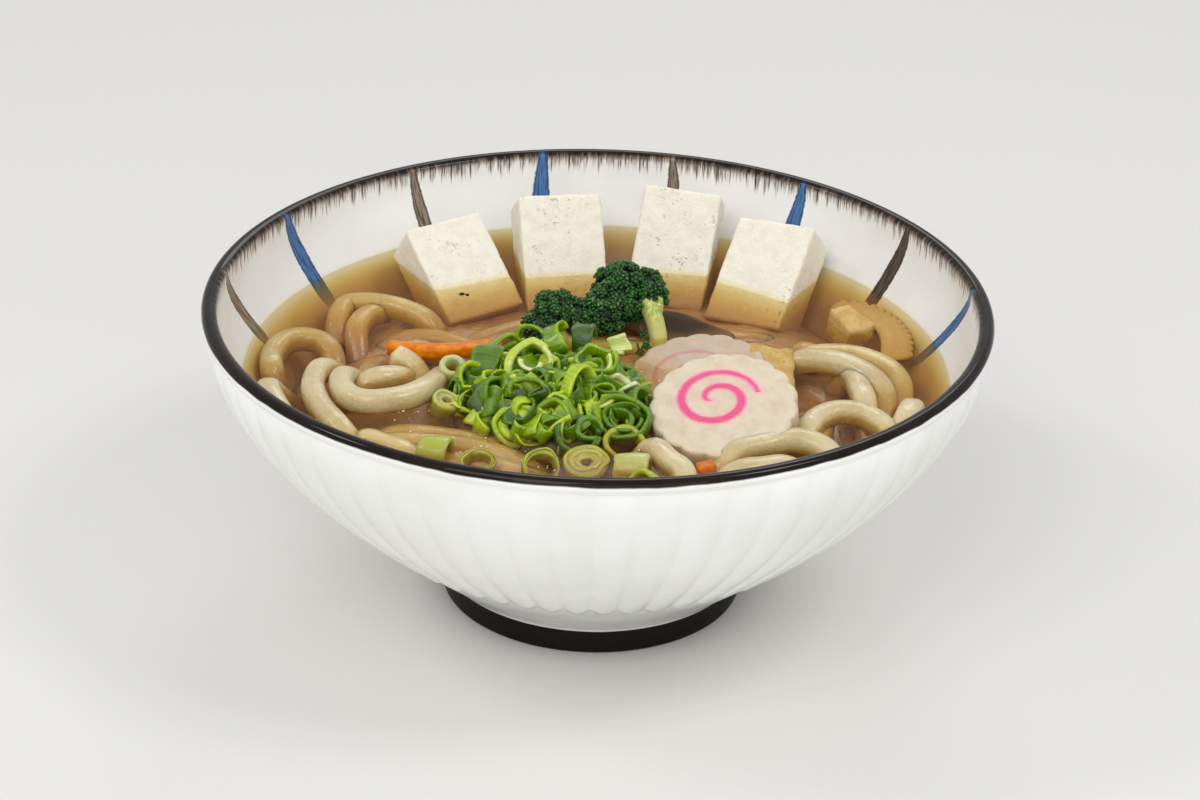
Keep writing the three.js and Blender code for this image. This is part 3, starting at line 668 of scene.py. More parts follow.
def makeSlices():
    line = swirlLine(160)
    radius, thick, edge = cake["radius"], cake["thickness"], cake["edge"]
    count = cake["scallops"] * cake["columnsEachScallop"]
    profile = [(0.002, 0), (0.5, 0), (1 - edge / radius, 0), (0.985, 0.25), (1, edge), (1, thick / 2),
               (1, thick - edge), (0.988, thick - 0.28), (1 - edge / radius, thick)]
    profile += [(share, thick) for share in np.linspace(0.93, 0.04, 26)] + [(0.002, thick)]
    points = []
    for share, height in profile:
        for k, (c, s) in enumerate(circle(count)):
            bulge = abs(sin(pi * k / cake["columnsEachScallop"])) ** 0.8 - 1
            reach = (radius + cake["scallopDepth"] * bulge if share > 0.9 else radius - 0.5) * share
            x, y = reach * c, reach * s
            points.append((x, y, cakeLump(x, y, height) if share < 0.95 and height > 1 else height))
    points = np.array(points)
    middle = np.array([(x, y) for x, y, _, _ in line[::3]])
    near = np.min(np.linalg.norm(points[:, None, :2] - middle, axis=2), axis=1)
    near[points[:, 2] < thick - 0.5] = 9
    faces = ringFaces(len(profile), count, False, False)
    shares = (-1, -0.9, -0.55, 0, 0.55, 0.9, 1)
    for name, centre, turns, swirl, faint in slices:
        placed = turned(points - (0, 0, thick), *turns, "ZYX") + centre
        shape = (placed, faces, {"nearSwirl": near + 4 * faint})
        makePiece(name + "Cake", shape, cakeFinish("cream" + name.title(), faint), "fish_cake", name)
        rows, inward = [], []
        for x, y, angle, half in line:
            wide = half * swirl
            for share in shares:
                px, py = x + share * wide * cos(angle), y + share * wide * sin(angle)
                rows.append((px, py, cakeLump(px, py, thick) + (0.06 if abs(share) < 1 else -0.4)))
                inward.append(wide * (1 - abs(share)))
            rows.append((x, y, 0.3))
            inward.append(half)
        rows = turned(np.array(rows) - (0, 0, thick), *turns, "ZYX") + centre
        shape = (rows, ringFaces(len(line), len(shares) + 1), {"inward": inward})
        makePiece(name + "Swirl", shape, swirlFinish("pink" + name.title(), faint), "fish_cake_pink",
                  name + "_swirl")


makeSlices()
print("fish cake is made")


# noodles: each route gives across, along, and height over the broth

noodle = {
    "width": 6.6, "flat": 0.94, "widthRange": 0.35, "sides": 16,
    "cream": colour(209, 194, 153), "amber": colour(192, 171, 124), "pale": colour(223, 211, 180),
    "bedRadius": 84, "bedHeight": 50, "bedRise": 7, "bedFoot": (46, 22.0),  # the sunk heap under the noodles
}
noodleRoutes = [
    # left side
    [(-71.3, 9, -10.5), (-72.8, 14, -5), (-76.8, 18.9, -4), (-81.8, 19.4, -3.6),
     (-86.1, 15.8, -3.2), (-88.1, 6.6, -3), (-87.2, -1.7, -3.2), (-85.5, -1.6, -10.5)],
    [(-78, -14, -10.5), (-86.2, -17.9, -0.4), (-82, -31, -0.4), (-71, -44, -9.5)],
    [(-64, 4, -10.5), (-72.9, -3.1, -1.4), (-74.8, -14.5, 0), (-73.5, -23.6, 0.2),
     (-70.5, -30.7, -0.2), (-65.5, -38.3, -1.4), (-52, -54, -10.5)],
    [(-58, -2, -10), (-66.6, -10.4, 0), (-67.1, -18.8, 1.2), (-63.9, -25.8, 1.6), (-59.3, -28, 1.8),
     (-54.2, -27.1, 1.8), (-49.1, -24.4, 1.6), (-44.5, -18.3, 1.2), (-41.1, -3.8, -2.5)],
    [(-44, -8, -10.5), (-50, 0.5, -1.6), (-55.5, 1.8, 1.2)],
    [(-66, -12, -10.5), (-61.2, -11, -1.6), (-54, -7.2, -1.2), (-47.8, 3.9, -9)],
    # left back
    [(-72.5, 27.6, -11), (-72.8, 35, -5), (-70.4, 43, -4), (-65.4, 43, -3.5),
     (-59.6, 41.1, -3), (-53.7, 37.8, -3), (-47.8, 33.2, -3.8), (-42.6, 30.6, -11)],
    # front left
    [(-62, -40, -10.5), (-59.6, -41, -3.1), (-53.7, -44.4, -2.7), (-47.5, -48.7, -3.1), (-32, -64, -11)],
    # right side
    [(48, 12, -10.5), (54.6, 7.4, -1), (61.9, 4.7, 1), (68.5, 1.1, 1),
     (73.8, -4.3, 0.2), (76.8, -8.8, -2.2), (75, -22, -10.5)],
    [(52, 22, -10.5), (57.7, 14.8, -3), (66.6, 16.1, -2.7), (74, 13.1, -2.6),
     (79.6, 6.8, -2.8), (82.1, -0.3, -4), (80, -18, -10.5)],
    [(64, 6, -10.5), (68.5, -0.1, -1.4), (70.2, -9.8, -0.4), (71.1, -16.9, -1), (72, -26, -10.5)],
    [(50, -42, -10.5), (55.3, -32.1, -1.6), (57.9, -27.1, -0.6), (63, -23.5, -0.2),
     (69.3, -23.4, -0.4), (74.1, -27.7, -1), (76.5, -31.8, -2.6), (71, -49, -10.5)],
    [(82, -10, -10.5), (83.3, -19.5, -0.8), (80.8, -28.2, -0.8), (77.5, -34, -10)],
    # right front, beside the fish cake
    [(28, -56, -10.5), (35.8, -47.9, -0.6), (42.8, -44.9, 0.6), (50.8, -41.9, 1),
     (57, -43.3, 0.2), (60.7, -47, -1.8), (58, -58, -10)],
    [(24, -66, -10.5), (36.3, -57.8, -0.8), (42.7, -55.5, -0.4), (49.3, -54.7, -0.6), (60, -60, -10.5)],
    [(9, -46, -10.5), (14.2, -45.6, -1), (18.7, -53.4, -0.2), (22.7, -59.2, -1), (22, -75, -10.5)],
]
sunkRoutes = [
    [(-59.3, 42.2, -5), (-64.5, 37, -4.6), (-66.9, 28.4, -5.4), (-65.6, 20.5, -13)],
    [(-62, 12, -13), (-50, 16, -4.6), (-38, 20, -13)],
    [(50, 15, -13), (57, 20, -4.4), (64, 28, -13)],
    [(-66, -37, -13), (-54, -41, -4.4), (-38, -41, -4.1), (-22, -47, -4.6), (-8, -50, -13)],
    [(-64, -33, -13), (-52, -35, -5), (-38, -36, -4.8), (-22, -42, -5.4), (-8, -50, -13)],
    [(-64, -42, -13), (-50, -47, -5), (-34, -49, -4.8), (-16, -55, -5.4), (0, -60, -13)],
    [(-58, -38, -13), (-44, -36, -6.4), (-30, -42, -7), (-14, -54, -13)],
    [(-50, 10, -13), (-30, 28, -6.8), (-6, 40, -6.4), (20, 42, -8), (34, 36, -13)],
    [(-44, 24, -13), (-24, 14, -7.2), (0, 12, -7), (24, 18, -8), (40, 12, -13)],
    [(-20, 32, -13), (-4, 24, -8), (18, 30, -7.6), (42, 34, -8.4), (58, 40, -13)],
    [(-64, 24, -13), (-52, 28, -7.4), (-34, 20, -7), (-22, 6, -13)],
    [(30, -72, -13), (50, -62, -7), (66, -48, -7), (74, -29, -13)],
    [(56, -10, -13), (60, -18, -5), (58, -30, -6), (52, -38, -13)],
    [(-56, -57, -13), (-40, -74, -3.2), (-18, -80, -3.2), (4, -76, -13)],
    [(-10, -68, -13), (8, -80, -3.2), (30, -79, -3.2), (46, -67, -13)],
    [(-70, 0, -13), (-64, -4, -7), (-60, 12, -8), (-50, 22, -13)],
    [(30, 22, -13), (44, 24, -6.5), (54, 26, -13)],
]


def noodleFinish():
    newFinish("udon", 0.3, (0.7, 0.004, (1.0, 0.85, 0.6)), Coat_Weight=0.35, Coat_Roughness=0.03)
    shown = mottled(noodle["cream"], noodle["amber"], 14, 2, 0.35, 0.68)
    shown = mottled(shown, noodle["pale"], 3.5, 2, 0.45, 0.75, 0.3)
    return finished(sunk(shown, wet=1.4), grain(3.5, 2) + grain(0.9, 2) * 0.4, 0.5)


def makeNoodles():
    shapes = []
    for number, route in enumerate(noodleRoutes + sunkRoutes):
        width = noodle["width"] + noodle["widthRange"] * wobble(number, 0.5, 0.2, 8)
        points = [(x, y, brothLevel + rise) for x, y, rise in route]
        shapes.append(tube(points, width, width * noodle["flat"], noodle["sides"], seed=number))
    count, rings = 96, 26
    profile = [noodle["bedFoot"]]
    for part in np.arange(rings + 1) / rings:
        height = noodle["bedHeight"] + noodle["bedRise"] * min(1, part * 5)
        profile.append((noodle["bedRadius"] * (1 - part), height))
    points = spun(profile, count)
    points[count:, 2] += [2.0 * wobble(x * 0.06, y * 0.06, 0, 2) + 0.8 * wobble(x * 0.2, y * 0.2, 0, 3)
                          for x, y, _ in points[count:]]
    shapes.append((points, ringFaces(len(profile), count, lastEnd=False)))
    makePiece("udonNoodles", joinShapes(shapes), noodleFinish(), "noodle", "noodles")


makeNoodles()
print("noodles are made")


# broccoli: lobes of small buds on a stalk that branches

broccoli = {
    "lobes": [  # centre and radius
        ((6.5, 29, 73.4), 8.2), ((13.4, 28.3, 75.6), 4.9), ((2, 23.5, 70.5), 6), ((-5.5, 22.5, 69.3), 4.8),
        ((-12, 21.5, 71), 5.8), ((-16, 18, 68), 4.2),
    ],
    "sprigs": [  # small sprigs that stand clear of the lobes
        (12.6, 28.5, 80.6), (16.4, 27.5, 78.2), (18.2, 26, 75.4), (18.6, 25.5, 73), (-1.6, 24, 75.2),
        (12.6, 18.6, 66.2), (13.2, 14.5, 64.6), (15, 12.5, 64.2), (11.6, 12, 64),
    ],
    "stalks": [  # route and width
        ([(17, 19, 60), (16.4, 21, 66), (14.8, 23, 70.5), (12, 26.5, 74.5)], 5.0),
        ([(15.6, 22, 68.5), (16.6, 24.5, 72), (16.4, 27.5, 75)], 2.8),
        ([(15.5, 18, 61.5), (1, 21, 61), (-9, 20, 63), (-12, 20.5, 67.5)], 4.5),
    ],
    "clump": 1.75, "budsEach": 15, "bud": 0.52, "sprig": 0.95, "sprigBuds": 9,
    # deep is a painted shadow green for the hollows between buds and knobs; tip is partly the buds' own paler
    # tips, partly painted highlight
    "deep": colour(12, 36, 12), "green": colour(40, 92, 30), "tip": colour(104, 154, 66),
    "stalk": colour(220, 214, 134), "stalkGreen": colour(150, 178, 70),
}


def evenDirections(count):
    k = np.arange(count) + 0.5
    z = 1 - 2 * k / count
    level = np.sqrt(1 - z * z)
    return np.stack([level * np.cos(k * goldenTurn), level * np.sin(k * goldenTurn), z], axis=1)


def broccoliFinish():
    newFinish("broccoliGreen", 0.5, (0.1, 0.001, (0.4, 1.0, 0.3)))
    # painted light and shade: where outward is low the deep shadow green shows, where it is high the lit
    # green, and the paler tip green in patches on the most lit sides
    outward = marked("outward")
    shown = blend(fade(outward, 0.05, 0.5), broccoli["deep"], broccoli["green"])
    shown = blend(fade(outward, 0.4, 0.9) * fade(grain(3.4, 2), 0.36, 0.66), shown, broccoli["tip"])
    stalk = blend(fade(heightHere(), 66, 73), broccoli["stalk"], broccoli["stalkGreen"])
    stalk = mottled(stalk, broccoli["stalk"], 0.8, 2, 0.4, 0.7, stretch=(1, 1, 0.2))
    return finished(sunk(blend(marked("stalk"), shown, stalk)), grain(0.6, 2), 0.12)


# outward is painted light: 0 for full shade, 1 for full light
def greenShape(shape, outward, stalk=0.0):
    points, faces = shape
    return points, faces, {"outward": outward, "stalk": stalk}


def ballAt(shape, size, spot):
    return shape[0] * size + spot, shape[1]


def budClump(centre, outwards, radius, buds, draw, shade):
    # a knob with small buds over its outer side
    # the knob's core is painted dark, as shade between its buds
    shapes = [greenShape(ballAt(ball, radius * 0.86, centre), 0.12 * shade)]
    for direction in evenDirections(buds * 2):
        facing = float(direction @ outwards)
        if facing < -0.15:
            continue
        direction = unit(direction + [draw.gauss(0, 0.13) for _ in range(3)])
        spot = direction * radius * draw.uniform(0.88, 1.1) + centre
        size = broccoli["bud"] * draw.uniform(0.7, 1.25)
        # painted light and shade: each bud is lighter where it faces out of its knob and darker on its inner
        # side
        lit = np.clip(0.25 + 0.5 * facing + 0.3 * (smallBall[0] @ outwards), 0, 1) * shade
        shapes.append(greenShape(ballAt(smallBall, size, spot), lit * draw.uniform(0.6, 1.0)))
    return shapes


def makeBroccoli():
    draw = random.Random(12)
    shapes = []
    lobes = broccoli["lobes"]
    for centre, radius in lobes:
        # each lobe's core is painted in the deep green, as shade between the knobs
        shapes.append(greenShape(ballAt(largeBall, radius * 0.84, centre), 0.0))
        count = int(4 * pi * radius ** 2 / (3.3 * broccoli["clump"] ** 2))
        for direction in evenDirections(count):
            direction = unit(direction + [draw.gauss(0, 0.12) for _ in range(3)])
            size = broccoli["clump"] * draw.uniform(0.7, 1.2)
            spot = direction * (radius - 0.75 * size + draw.uniform(-0.4, 0.7)) + centre
            if any(np.linalg.norm(spot - other) < reach * 0.8 for other, reach in lobes if other != centre):
                continue
            shapes += budClump(spot, direction, size, broccoli["budsEach"], draw, draw.uniform(0.6, 1.0))
    for spot in np.array(broccoli["sprigs"]):
        outwards = unit(spot - lobes[0][0])
        shapes += budClump(spot, outwards, broccoli["sprig"], broccoli["sprigBuds"], draw, 0.95)
        stem = [spot - outwards * reach for reach in (3.2, 1.6, 0.2)]
        shapes.append(greenShape(tube(stem, 0.7, 0.7, 8, 0.6, square=1, tip=0.4), 0.35))
    for points, width in broccoli["stalks"]:
        stalk = tube(points, width, width, 18, 0.8, square=0.9, seed=3, uneven=0.12, tip=1.0)
        shapes.append(greenShape(stalk, 0.0, 1.0))
    makePiece("broccoliHead", joinShapes(shapes), broccoliFinish(), "broccoli", "broccoli")


makeBroccoli()
print("broccoli is made")


# scallions: a heap of thin rings and curls, and loose rings round it
# tone goes from 0, dark green leaf, to 1, bright yellow green, and 1.5, the white of the stem

scallion = {
    "centre": (-11.8, -19.8), "radius": 26.0, "base": 61.0, "top": 72.0,
    "pieces": 150, "reach": 0.95, "shift": (-0.8, 0.8),
    "kinds": [  # share, least and most radius, sweep and length
        (0.40, (2.4, 3.8), (360, 360), (3.0, 6.5)), (0.40, (2.8, 4.6), (140, 320), (3.5, 6.5)),
        (0.20, (5, 9), (50, 85), (3.0, 5.0)),
    ],
    "walls": (0.7, 1.1), "squash": (0.6, 1.0), "opening": (-0.1, 0.25), "tones": (0.55, 0.25), "crush": 1.3,
    "steepShare": 0.4, "steep": (30, 90), "shallow": (-50, 20), "tilt": (-45, 45), "turn": (-60, 60),
    "dark": colour(40, 72, 2), "green": colour(98, 138, 8), "bright": colour(178, 204, 26),
    "soaked": colour(134, 118, 66), "pale": colour(218, 224, 168), "core": colour(46, 72, 14),
}
# pieces that stand out on the heap: middle, spin and turns about X, Y and Z, radius, sweep, length, squash,
# opening, tone and wall
heapPieces = [
    ((-17.8, -18, 74.4), (20, 48, -14, 10), 5.4, 300, 4.6, 0.85, 0.25, 1, 2.2),
    ((-17.3, -21.5, 75.2), (200, 60, 20, -25), 2.6, 170, 3.2, 0.8, 0, 1.5, 1.2),
    ((-13.2, -19, 75.6), (300, 55, 10, -10), 3.6, 120, 4.5, 1, 0, 1.2, 1.3),
    ((-14.5, -27.4, 73), (230, 60, 0, -6), 11, 80, 3.6, 1, 0, 0.9, 1.8),
    ((-16.9, -1.5, 73.5), (0, 75, 10, -20), 4.4, 300, 5, 0.8, 0.1, 0.6, 1.3),
    ((-23.6, -3, 71.5), (98, 60, 0, 0), 14, 38, 2.2, 1, 0, 0.9, 1),
    ((-25.5, -6.5, 70.5), (95, 55, 10, 5), 12, 36, 2.4, 1, 0, 0.75, 1),
    ((-10.7, -3.2, 74.5), (40, 50, 35, 60), 4.6, 250, 5.5, 0.7, 0.2, 0.62, 1.2),
    ((-12.5, -5.5, 74), (200, 70, -20, 10), 3.4, 210, 4, 0.8, 0.1, 0.75, 1.1),
    ((-3.3, -1.5, 73.5), (0, 85, 10, 80), 4.6, 260, 5.5, 0.8, 0.1, 0.12, 1.2),
    ((5.8, -9.5, 76.4), (0, 10, 70, 20), 2.2, 150, 5.5, 0.8, 0, 1.15, 0.9),
    ((4.8, -10.5, 74.4), (0, 85, 10, 80), 1.8, 140, 5.2, 0.8, 0, 1.2, 0.9),
    ((-0.5, -16.8, 74), (60, 12, 6, -12), 5.6, 350, 3.6, 0.9, 0.05, 0.52, 1.1),
    ((2.4, -18.5, 74.2), (300, 40, 30, 0), 4.2, 100, 3.4, 0.9, 0, 1.05, 1),
    ((-4.7, -28, 72.3), (0, 80, 0, 45), 5, 360, 4.2, 0.95, 0, 0.85, 1.3),
    ((6.7, -23.2, 71), (0, 50, 45, 20), 4.4, 150, 5.5, 0.8, 0, 1.25, 1.5),
    ((9, -24.5, 70.6), (30, 50, 50, 60), 3.6, 110, 5, 0.7, 0, 1.45, 1.2),
    ((0.6, -33.6, 71), (220, 60, 20, 30), 3.8, 130, 4.5, 0.8, 0, 0.95, 1.3),
    ((7.1, -36.5, 67.8), (0, 36, 14, -20), 6.2, 360, 5.5, 0.9, 0, 0.38, 1.3),
    ((7, -36.2, 67.6), (40, 30, 10, -15), 4.4, 330, 5.2, 0.85, 0.1, 0.26, 1.2),
    ((6.6, -36.4, 67.4), (200, 34, 10, -15), 2.6, 300, 4.6, 0.85, 0.1, 0.18, 1.2),
    ((-28.5, -11.6, 70), (0, 85, 0, 75), 4.6, 360, 8, 0.9, 0, 0.3, 1.2),
    ((-26, -26.7, 68.5), (0, 62, 15, 35), 5, 340, 5.5, 0.85, 0.05, 0.36, 1.4),
    ((-16.8, -31, 71.5), (0, 60, 20, -30), 5, 220, 4.5, 0.85, 0.1, 0.5, 1.4),
    ((-10.5, -25.5, 74), (180, 60, 0, 20), 4.6, 220, 4, 0.8, 0.1, 0.42, 1.3),
    ((-10.8, -33.5, 71.5), (40, 45, 30, 0), 2.6, 170, 5, 0.9, 0, 0.95, 1.1),
    ((-20.1, -38.5, 65.8), (0, 48, 0, 8), 5.6, 360, 6, 0.95, 0, 0.7, 1.5),
    ((-20.1, -38.5, 65.6), (0, 48, 0, 8), 3, 360, 5.4, 0.95, 0, 0.95, 2.6),
    ((-11.2, -37.5, 68.3), (0, 45, 0, -10), 4.4, 360, 5, 0.95, 0, 0.5, 1.3),
    ((-10, -42.5, 68), (108, 62, 0, 0), 14, 35, 2.8, 1, 0, 0.85, 1.1),
    ((-4.3, -43.7, 66), (0, 28, 0, 10), 5.4, 340, 4.5, 0.95, 0, 0.06, 1.6),
    ((-1.5, -42, 67), (0, 45, 0, 0), 3, 300, 4, 0.9, 0, 0.3, 1.4),
    ((-32.6, -15.4, 68.5), (40, 60, 30, 10), 4, 230, 5, 0.9, 0, 0.7, 1.3),
    ((11.5, -30.2, 69), (60, 40, 40, 30), 4.4, 220, 4.5, 0.8, 0, 0.35, 1.3),
    ((-24.5, -4.8, 71), (30, 70, 20, 20), 4.4, 260, 5, 0.85, 0.1, 0.62, 1.2),
]
# afloat, in the order of their nodes: middle, turns about X and Z, outer and inner radius, length, tone,
# rings inside
looseScallions = [
    ((-40.5, -50, 63.9), (90, 70), 4.2, 2.6, 8, 1.1, 1), ((-29.5, -56, 63.8), (12, 0), 4.6, 3.4, 4, 0.85, 2),
    ((-13.5, -58, 64), (40, 20), 5, 3.7, 4.5, 0.85, 2), ((-2, -54.5, 63.9), (14, 0), 6, 1.4, 4, 1, 3),
    ((9.5, -56, 63.5), (90, 80), 4.2, 2.4, 9, 1.3, 1), ((13, -65.5, 64), (60, -40), 4.4, 3, 5, 0.95, 1),
    ((-38.5, -7.5, 66), (25, 30), 3.7, 2, 6.5, 1.4, 1), ((-39.3, -25.5, 65), (22, 40), 3.9, 1.1, 4.5, 1.1, 2),
    ((7.5, -44.5, 64.4), (20, 10), 5.6, 4.2, 4, 0.9, 1),
]
halfSection = [(-0.5, -0.36), (-0.36, -0.46), (0, -0.5), (0.36, -0.46), (0.5, -0.36), (0.5, 0)]
leafSection = halfSection + [(-across, -along) for across, along in halfSection]


def scallionFinish(name, wet, soaked):
    newFinish(name, 0.36, (0.4, 0.002, (0.9, 1.0, 0.25)), Coat_Weight=0.22, Coat_Roughness=0.06)
    veins = grain(0.8, 2, at=add("CombineXYZ", {0: marked("around") * mm}))
    tone = (marked("tone") + (grain(3, 2) - 0.5) * 0.4 + (veins - 0.5) * 0.5
            + marked("inner") * 0.16 + marked("cut") * 0.1)
    shown = blend(fade(tone, 0.0, 0.55), scallion["dark"], scallion["green"])
    shown = blend(fade(tone, 0.5, 1.0), shown, scallion["bright"])
    shown = blend(fade(tone, 1.0, 1.5), shown, scallion["pale"])
    shown = blend(marked("core"), shown, scallion["core"])
    shown = blend(soaked, shown, scallion["soaked"])
    return finished(sunk(shown, wet=wet), veins + grain(0.7, 2), 0.14)


def leafPiece(radius, sweep, wall, length, squash=1.0, opening=0.0, seed=0, crush=0.0):
    # a cut ring of leaf, or a part of one where the sweep is under 360
    closed = sweep >= 360
    steps = max(12, int(radius * radians(sweep) / 0.7))
    points, inner, cut, around = [], [], [], []
    for k in range(steps):
        part = k / (steps if closed else steps - 1)
        turn = radians(sweep * part)
        c, s = cos(turn), sin(turn)
        bend = 1 + opening * part + 0.11 * wobble(c, s, 0.3, seed)
        for across, along in leafSection:
            reach = (radius * bend + across * wall) * (1 + 0.06 * along)
            points.append((reach * c, reach * squash * s, along * length + 0.3 * wobble(c, s, 2.5, seed)))
            inner.append(float(across < 0))
            cut.append(float(abs(along) > 0.45))
            around.append(turn * radius + 31 * seed)
    ring = len(leafSection)
    faces = ringFaces(steps, ring, not closed, not closed)
    if closed:
        last = (steps - 1) * ring
        faces += [(last + k, last + (k + 1) % ring, (k + 1) % ring, k) for k in range(ring)]
    points = np.array(points)
    if crush:
        points += [[crush * wobble(*point, seed + 40 * axis) for axis in range(3)] for point in points * 0.16]
    if sweep < 200:
        points -= points.mean(axis=0)
    return points, faces, {"inner": inner, "cut": cut, "around": around}


def heapHeight(x, y):
    across = (x - scallion["centre"][0]) / scallion["radius"]
    along = (y - scallion["centre"][1]) / scallion["radius"]
    slope = max(0.0, 1 - across * across - along * along)
    return scallion["base"] + (scallion["top"] - scallion["base"]) * slope ** 0.7


def putLeaf(shape, at, turns, tone):
    points, faces, values = shape
    spin, aroundX, aroundY, aroundZ = turns
    points = turned(turned(points, 0, 0, spin), aroundX, aroundY, aroundZ) + at
    return points, faces, {**values, "tone": tone, "core": 0.0}


def makeHeap():
    draw = random.Random(7)

    def pick(label):
        return draw.uniform(*scallion[label])

    (centreX, centreY), count, rings = scallion["centre"], 64, 18
    profile = [(scallion["radius"] * (1 - ring / (rings - 1)), scallion["base"] - 2) for ring in range(rings)]
    points = spun(profile, count) + (centreX, centreY, 0)
    points[count:, 2] = [heapHeight(x, y) - 0.8 + 1.1 * wobble(x * 0.3, y * 0.3, 0, 5)
                         for x, y, _ in points[count:]]
    marks = {"inner": 0.0, "cut": 0.0, "around": 0.0, "tone": 0.0, "core": 1.0}
    shapes = [(points, ringFaces(rings, count, lastEnd=False), marks)]
    for k in range(scallion["pieces"]):
        reach = scallion["radius"] * scallion["reach"] * sqrt((k + 0.5) / scallion["pieces"])
        x = centreX + reach * cos(k * goldenTurn) + pick("shift")
        y = centreY + reach * sin(k * goldenTurn) + pick("shift")
        _, *ranges = draw.choices(scallion["kinds"], [kind[0] for kind in scallion["kinds"]])[0]
        radius, sweep, length = (draw.uniform(*ends) for ends in ranges)
        wall, squash, opening = pick("walls"), pick("squash"), pick("opening")
        shape = leafPiece(radius, sweep, wall, length, squash, opening, k, scallion["crush"] * 1.5)
        tilt = pick("steep" if draw.random() < scallion["steepShare"] else "shallow")
        turns = (draw.uniform(0, 360), tilt, pick("tilt"), pick("turn"))
        lift = max(heapHeight(x, y), brothLevel - 2) + draw.uniform(0, 1.6) - 0.1 * radius
        tone = min(0.95, max(0.05, draw.gauss(*scallion["tones"])))
        shapes.append(putLeaf(shape, (x, y, lift), turns, tone))
    for k, (at, turns, radius, sweep, length, squash, opening, tone, wall) in enumerate(heapPieces):
        shape = leafPiece(radius, sweep, wall, length, squash, opening, 300 + k, scallion["crush"])
        shapes.append(putLeaf(shape, at, turns, tone))
    finish = scallionFinish("scallionLeaf", 2.0, 0.0)
    makePiece("scallionHeap", joinShapes(shapes), finish, "scallion", "scallions")


def makeLooseScallions():
    finish = scallionFinish("scallionAfloat", 3.4, 0.35)
    for k, (at, (aroundX, aroundZ), outer, inner, length, tone, insideRings) in enumerate(looseScallions):
        turns, seed = (0, aroundX, 0, aroundZ), 500 + 10 * k
        wall = (outer - inner) / insideRings
        thick = wall * (1.0 if insideRings == 1 else 0.85)
        shapes = []
        for ring in range(insideRings):
            radius = outer - wall * (ring + 0.5)
            shape = leafPiece(radius, 360, thick, length * (1 - 0.06 * ring), seed=seed + ring, crush=0.7)
            shapes.append(putLeaf(shape, at, turns, tone + 0.15 * ring))
        if insideRings > 1:
            web = leafPiece((outer + inner) / 2, 360, outer - inner - 0.3, length * 0.8, seed=seed)
            shapes.append(putLeaf(web, at, turns, tone + 0.1))
        makePiece(f"scallionRing{k + 1}", joinShapes(shapes), finish, "scallion", f"scallion_loose_{k + 1}")


makeHeap()
makeLooseScallions()
print("scallions are made")


# carrot and fried tofu

carrot = {
    "pieces": [  # name, node, route, width and height, and how far the broth climbs
        ("carrotStrip", "carrot_strip", [(-57, 7.5, 65.6), (-48, 4.8, 66), (-38, 6, 65.8), (-26, 11, 65.2)],
         (3.4, 4.6), 0.5),
        ("carrotBit", "carrot_bit", [(25.5, -57, 64.1), (31, -55.5, 64.9)], (3.6, 3.8), 4),
    ],
    "orange": colour(208, 106, 0), "light": colour(228, 138, 8),
}
fried = {
    "pieces": [  # node, middle, size, lean, roll and turn in degrees, taper
        ("fried_tofu_1", (46.6, -15, 62.2), (12.5, 48, 6), 9, 12, 0, 0),
        ("fried_tofu_2", (69.7, 30, 64), (9.8, 11.5, 8.5), 14, 0, 38, 0.35),
    ],
    "step": 0.6, "worn": 1.2, "uneven": 0.55,
    "gold": colour(197, 156, 76), "pale": colour(211, 181, 114), "brown": colour(168, 112, 44),
}


def makeCarrots():
    for name, node, route, (width, height), wet in carrot["pieces"]:
        newFinish(name + "Flesh", 0.3, Specular_IOR_Level=0.2)
        shown = mottled(carrot["orange"], carrot["light"], 2.5, 3, 0.35, 0.7)
        finish = finished(sunk(shown, wet=wet), grain(0.8, 3), 0.2)
        shape = tube(route, height, width, 20, 0.8, square=0.5, seed=6, uneven=0.1, tip=0.6)
        makePiece(name, shape, finish, "carrot", node)


def makeFriedTofu():
    newFinish("friedCurd", 0.55, (0.1, 0.0015))
    shown = mottled(fried["gold"], fried["pale"], 4, 3, 0.35, 0.65)
    shown = mottled(shown, fried["brown"], 2, 3, 0.55, 0.72, 0.6)
    finish = finished(sunk(shown), grain(1.0, 4, 0.65), 0.5)
    for number, (node, centre, size, lean, roll, turn, taper) in enumerate(fried["pieces"]):
        points, faces = boxShape(size, fried["step"], fried["worn"], fried["uneven"], 40 + 7 * number)
        points[:, 0] *= 1 - taper * (points[:, 1] / size[1] + 0.5)
        points = turned(points, lean, roll, turn, order="YXZ") + centre
        makePiece(f"friedTofu{number + 1}", (points, faces), finish, "fried_tofu", node)


makeCarrots()
makeFriedTofu()
print("carrot and fried tofu are made")


# small things in the broth

sunkBand = {  # beside the right wall, with a scalloped outer edge
    "points": [(66, 50, 60.8), (73, 47, 62.1), (79.5, 39, 62.7), (82.5, 28, 62.5), (82, 17, 61)],
    "width": 8.5, "height": 1.8, "scallop": (1.2, 1.2, 1.1), "spacing": 2.6, "colour": colour(222, 194, 156),
}
darkSheet = {  # a wide dark sheet just under the surface
    "centre": (20.5, 33, 64.2), "reach": (17, 9), "turn": -24, "droop": 2.4, "colour": colour(12, 14, 18),
}
herbs = {  # flecks: middle and size
    "flecks": [((-38.5, 43.5, 65.3), 0.8), ((-37, 43, 65.3), 0.55), ((-14.5, 35, 65.1), 0.7),
               ((-12.8, 35.4, 65.1), 0.5), ((-15.6, 34, 65.1), 0.4), ((38, 2.5, 65.1), 0.4)],
    "colour": colour(40, 62, 26),
}


def sunkFinish(name, shade, softEdge=False):
    newFinish(name, 0.6, Specular_IOR_Level=0.1)
    shown = sunk(blend(grain(3, 3), shade, dimmed(shade, 0.75)))
    if softEdge:
        shown = blend(fade(marked("fromEdge"), 0, 0.5), dimmed(brothLook["murk"], 0.6), shown)
    return finished(shown, grain(2, 3), 0.3)


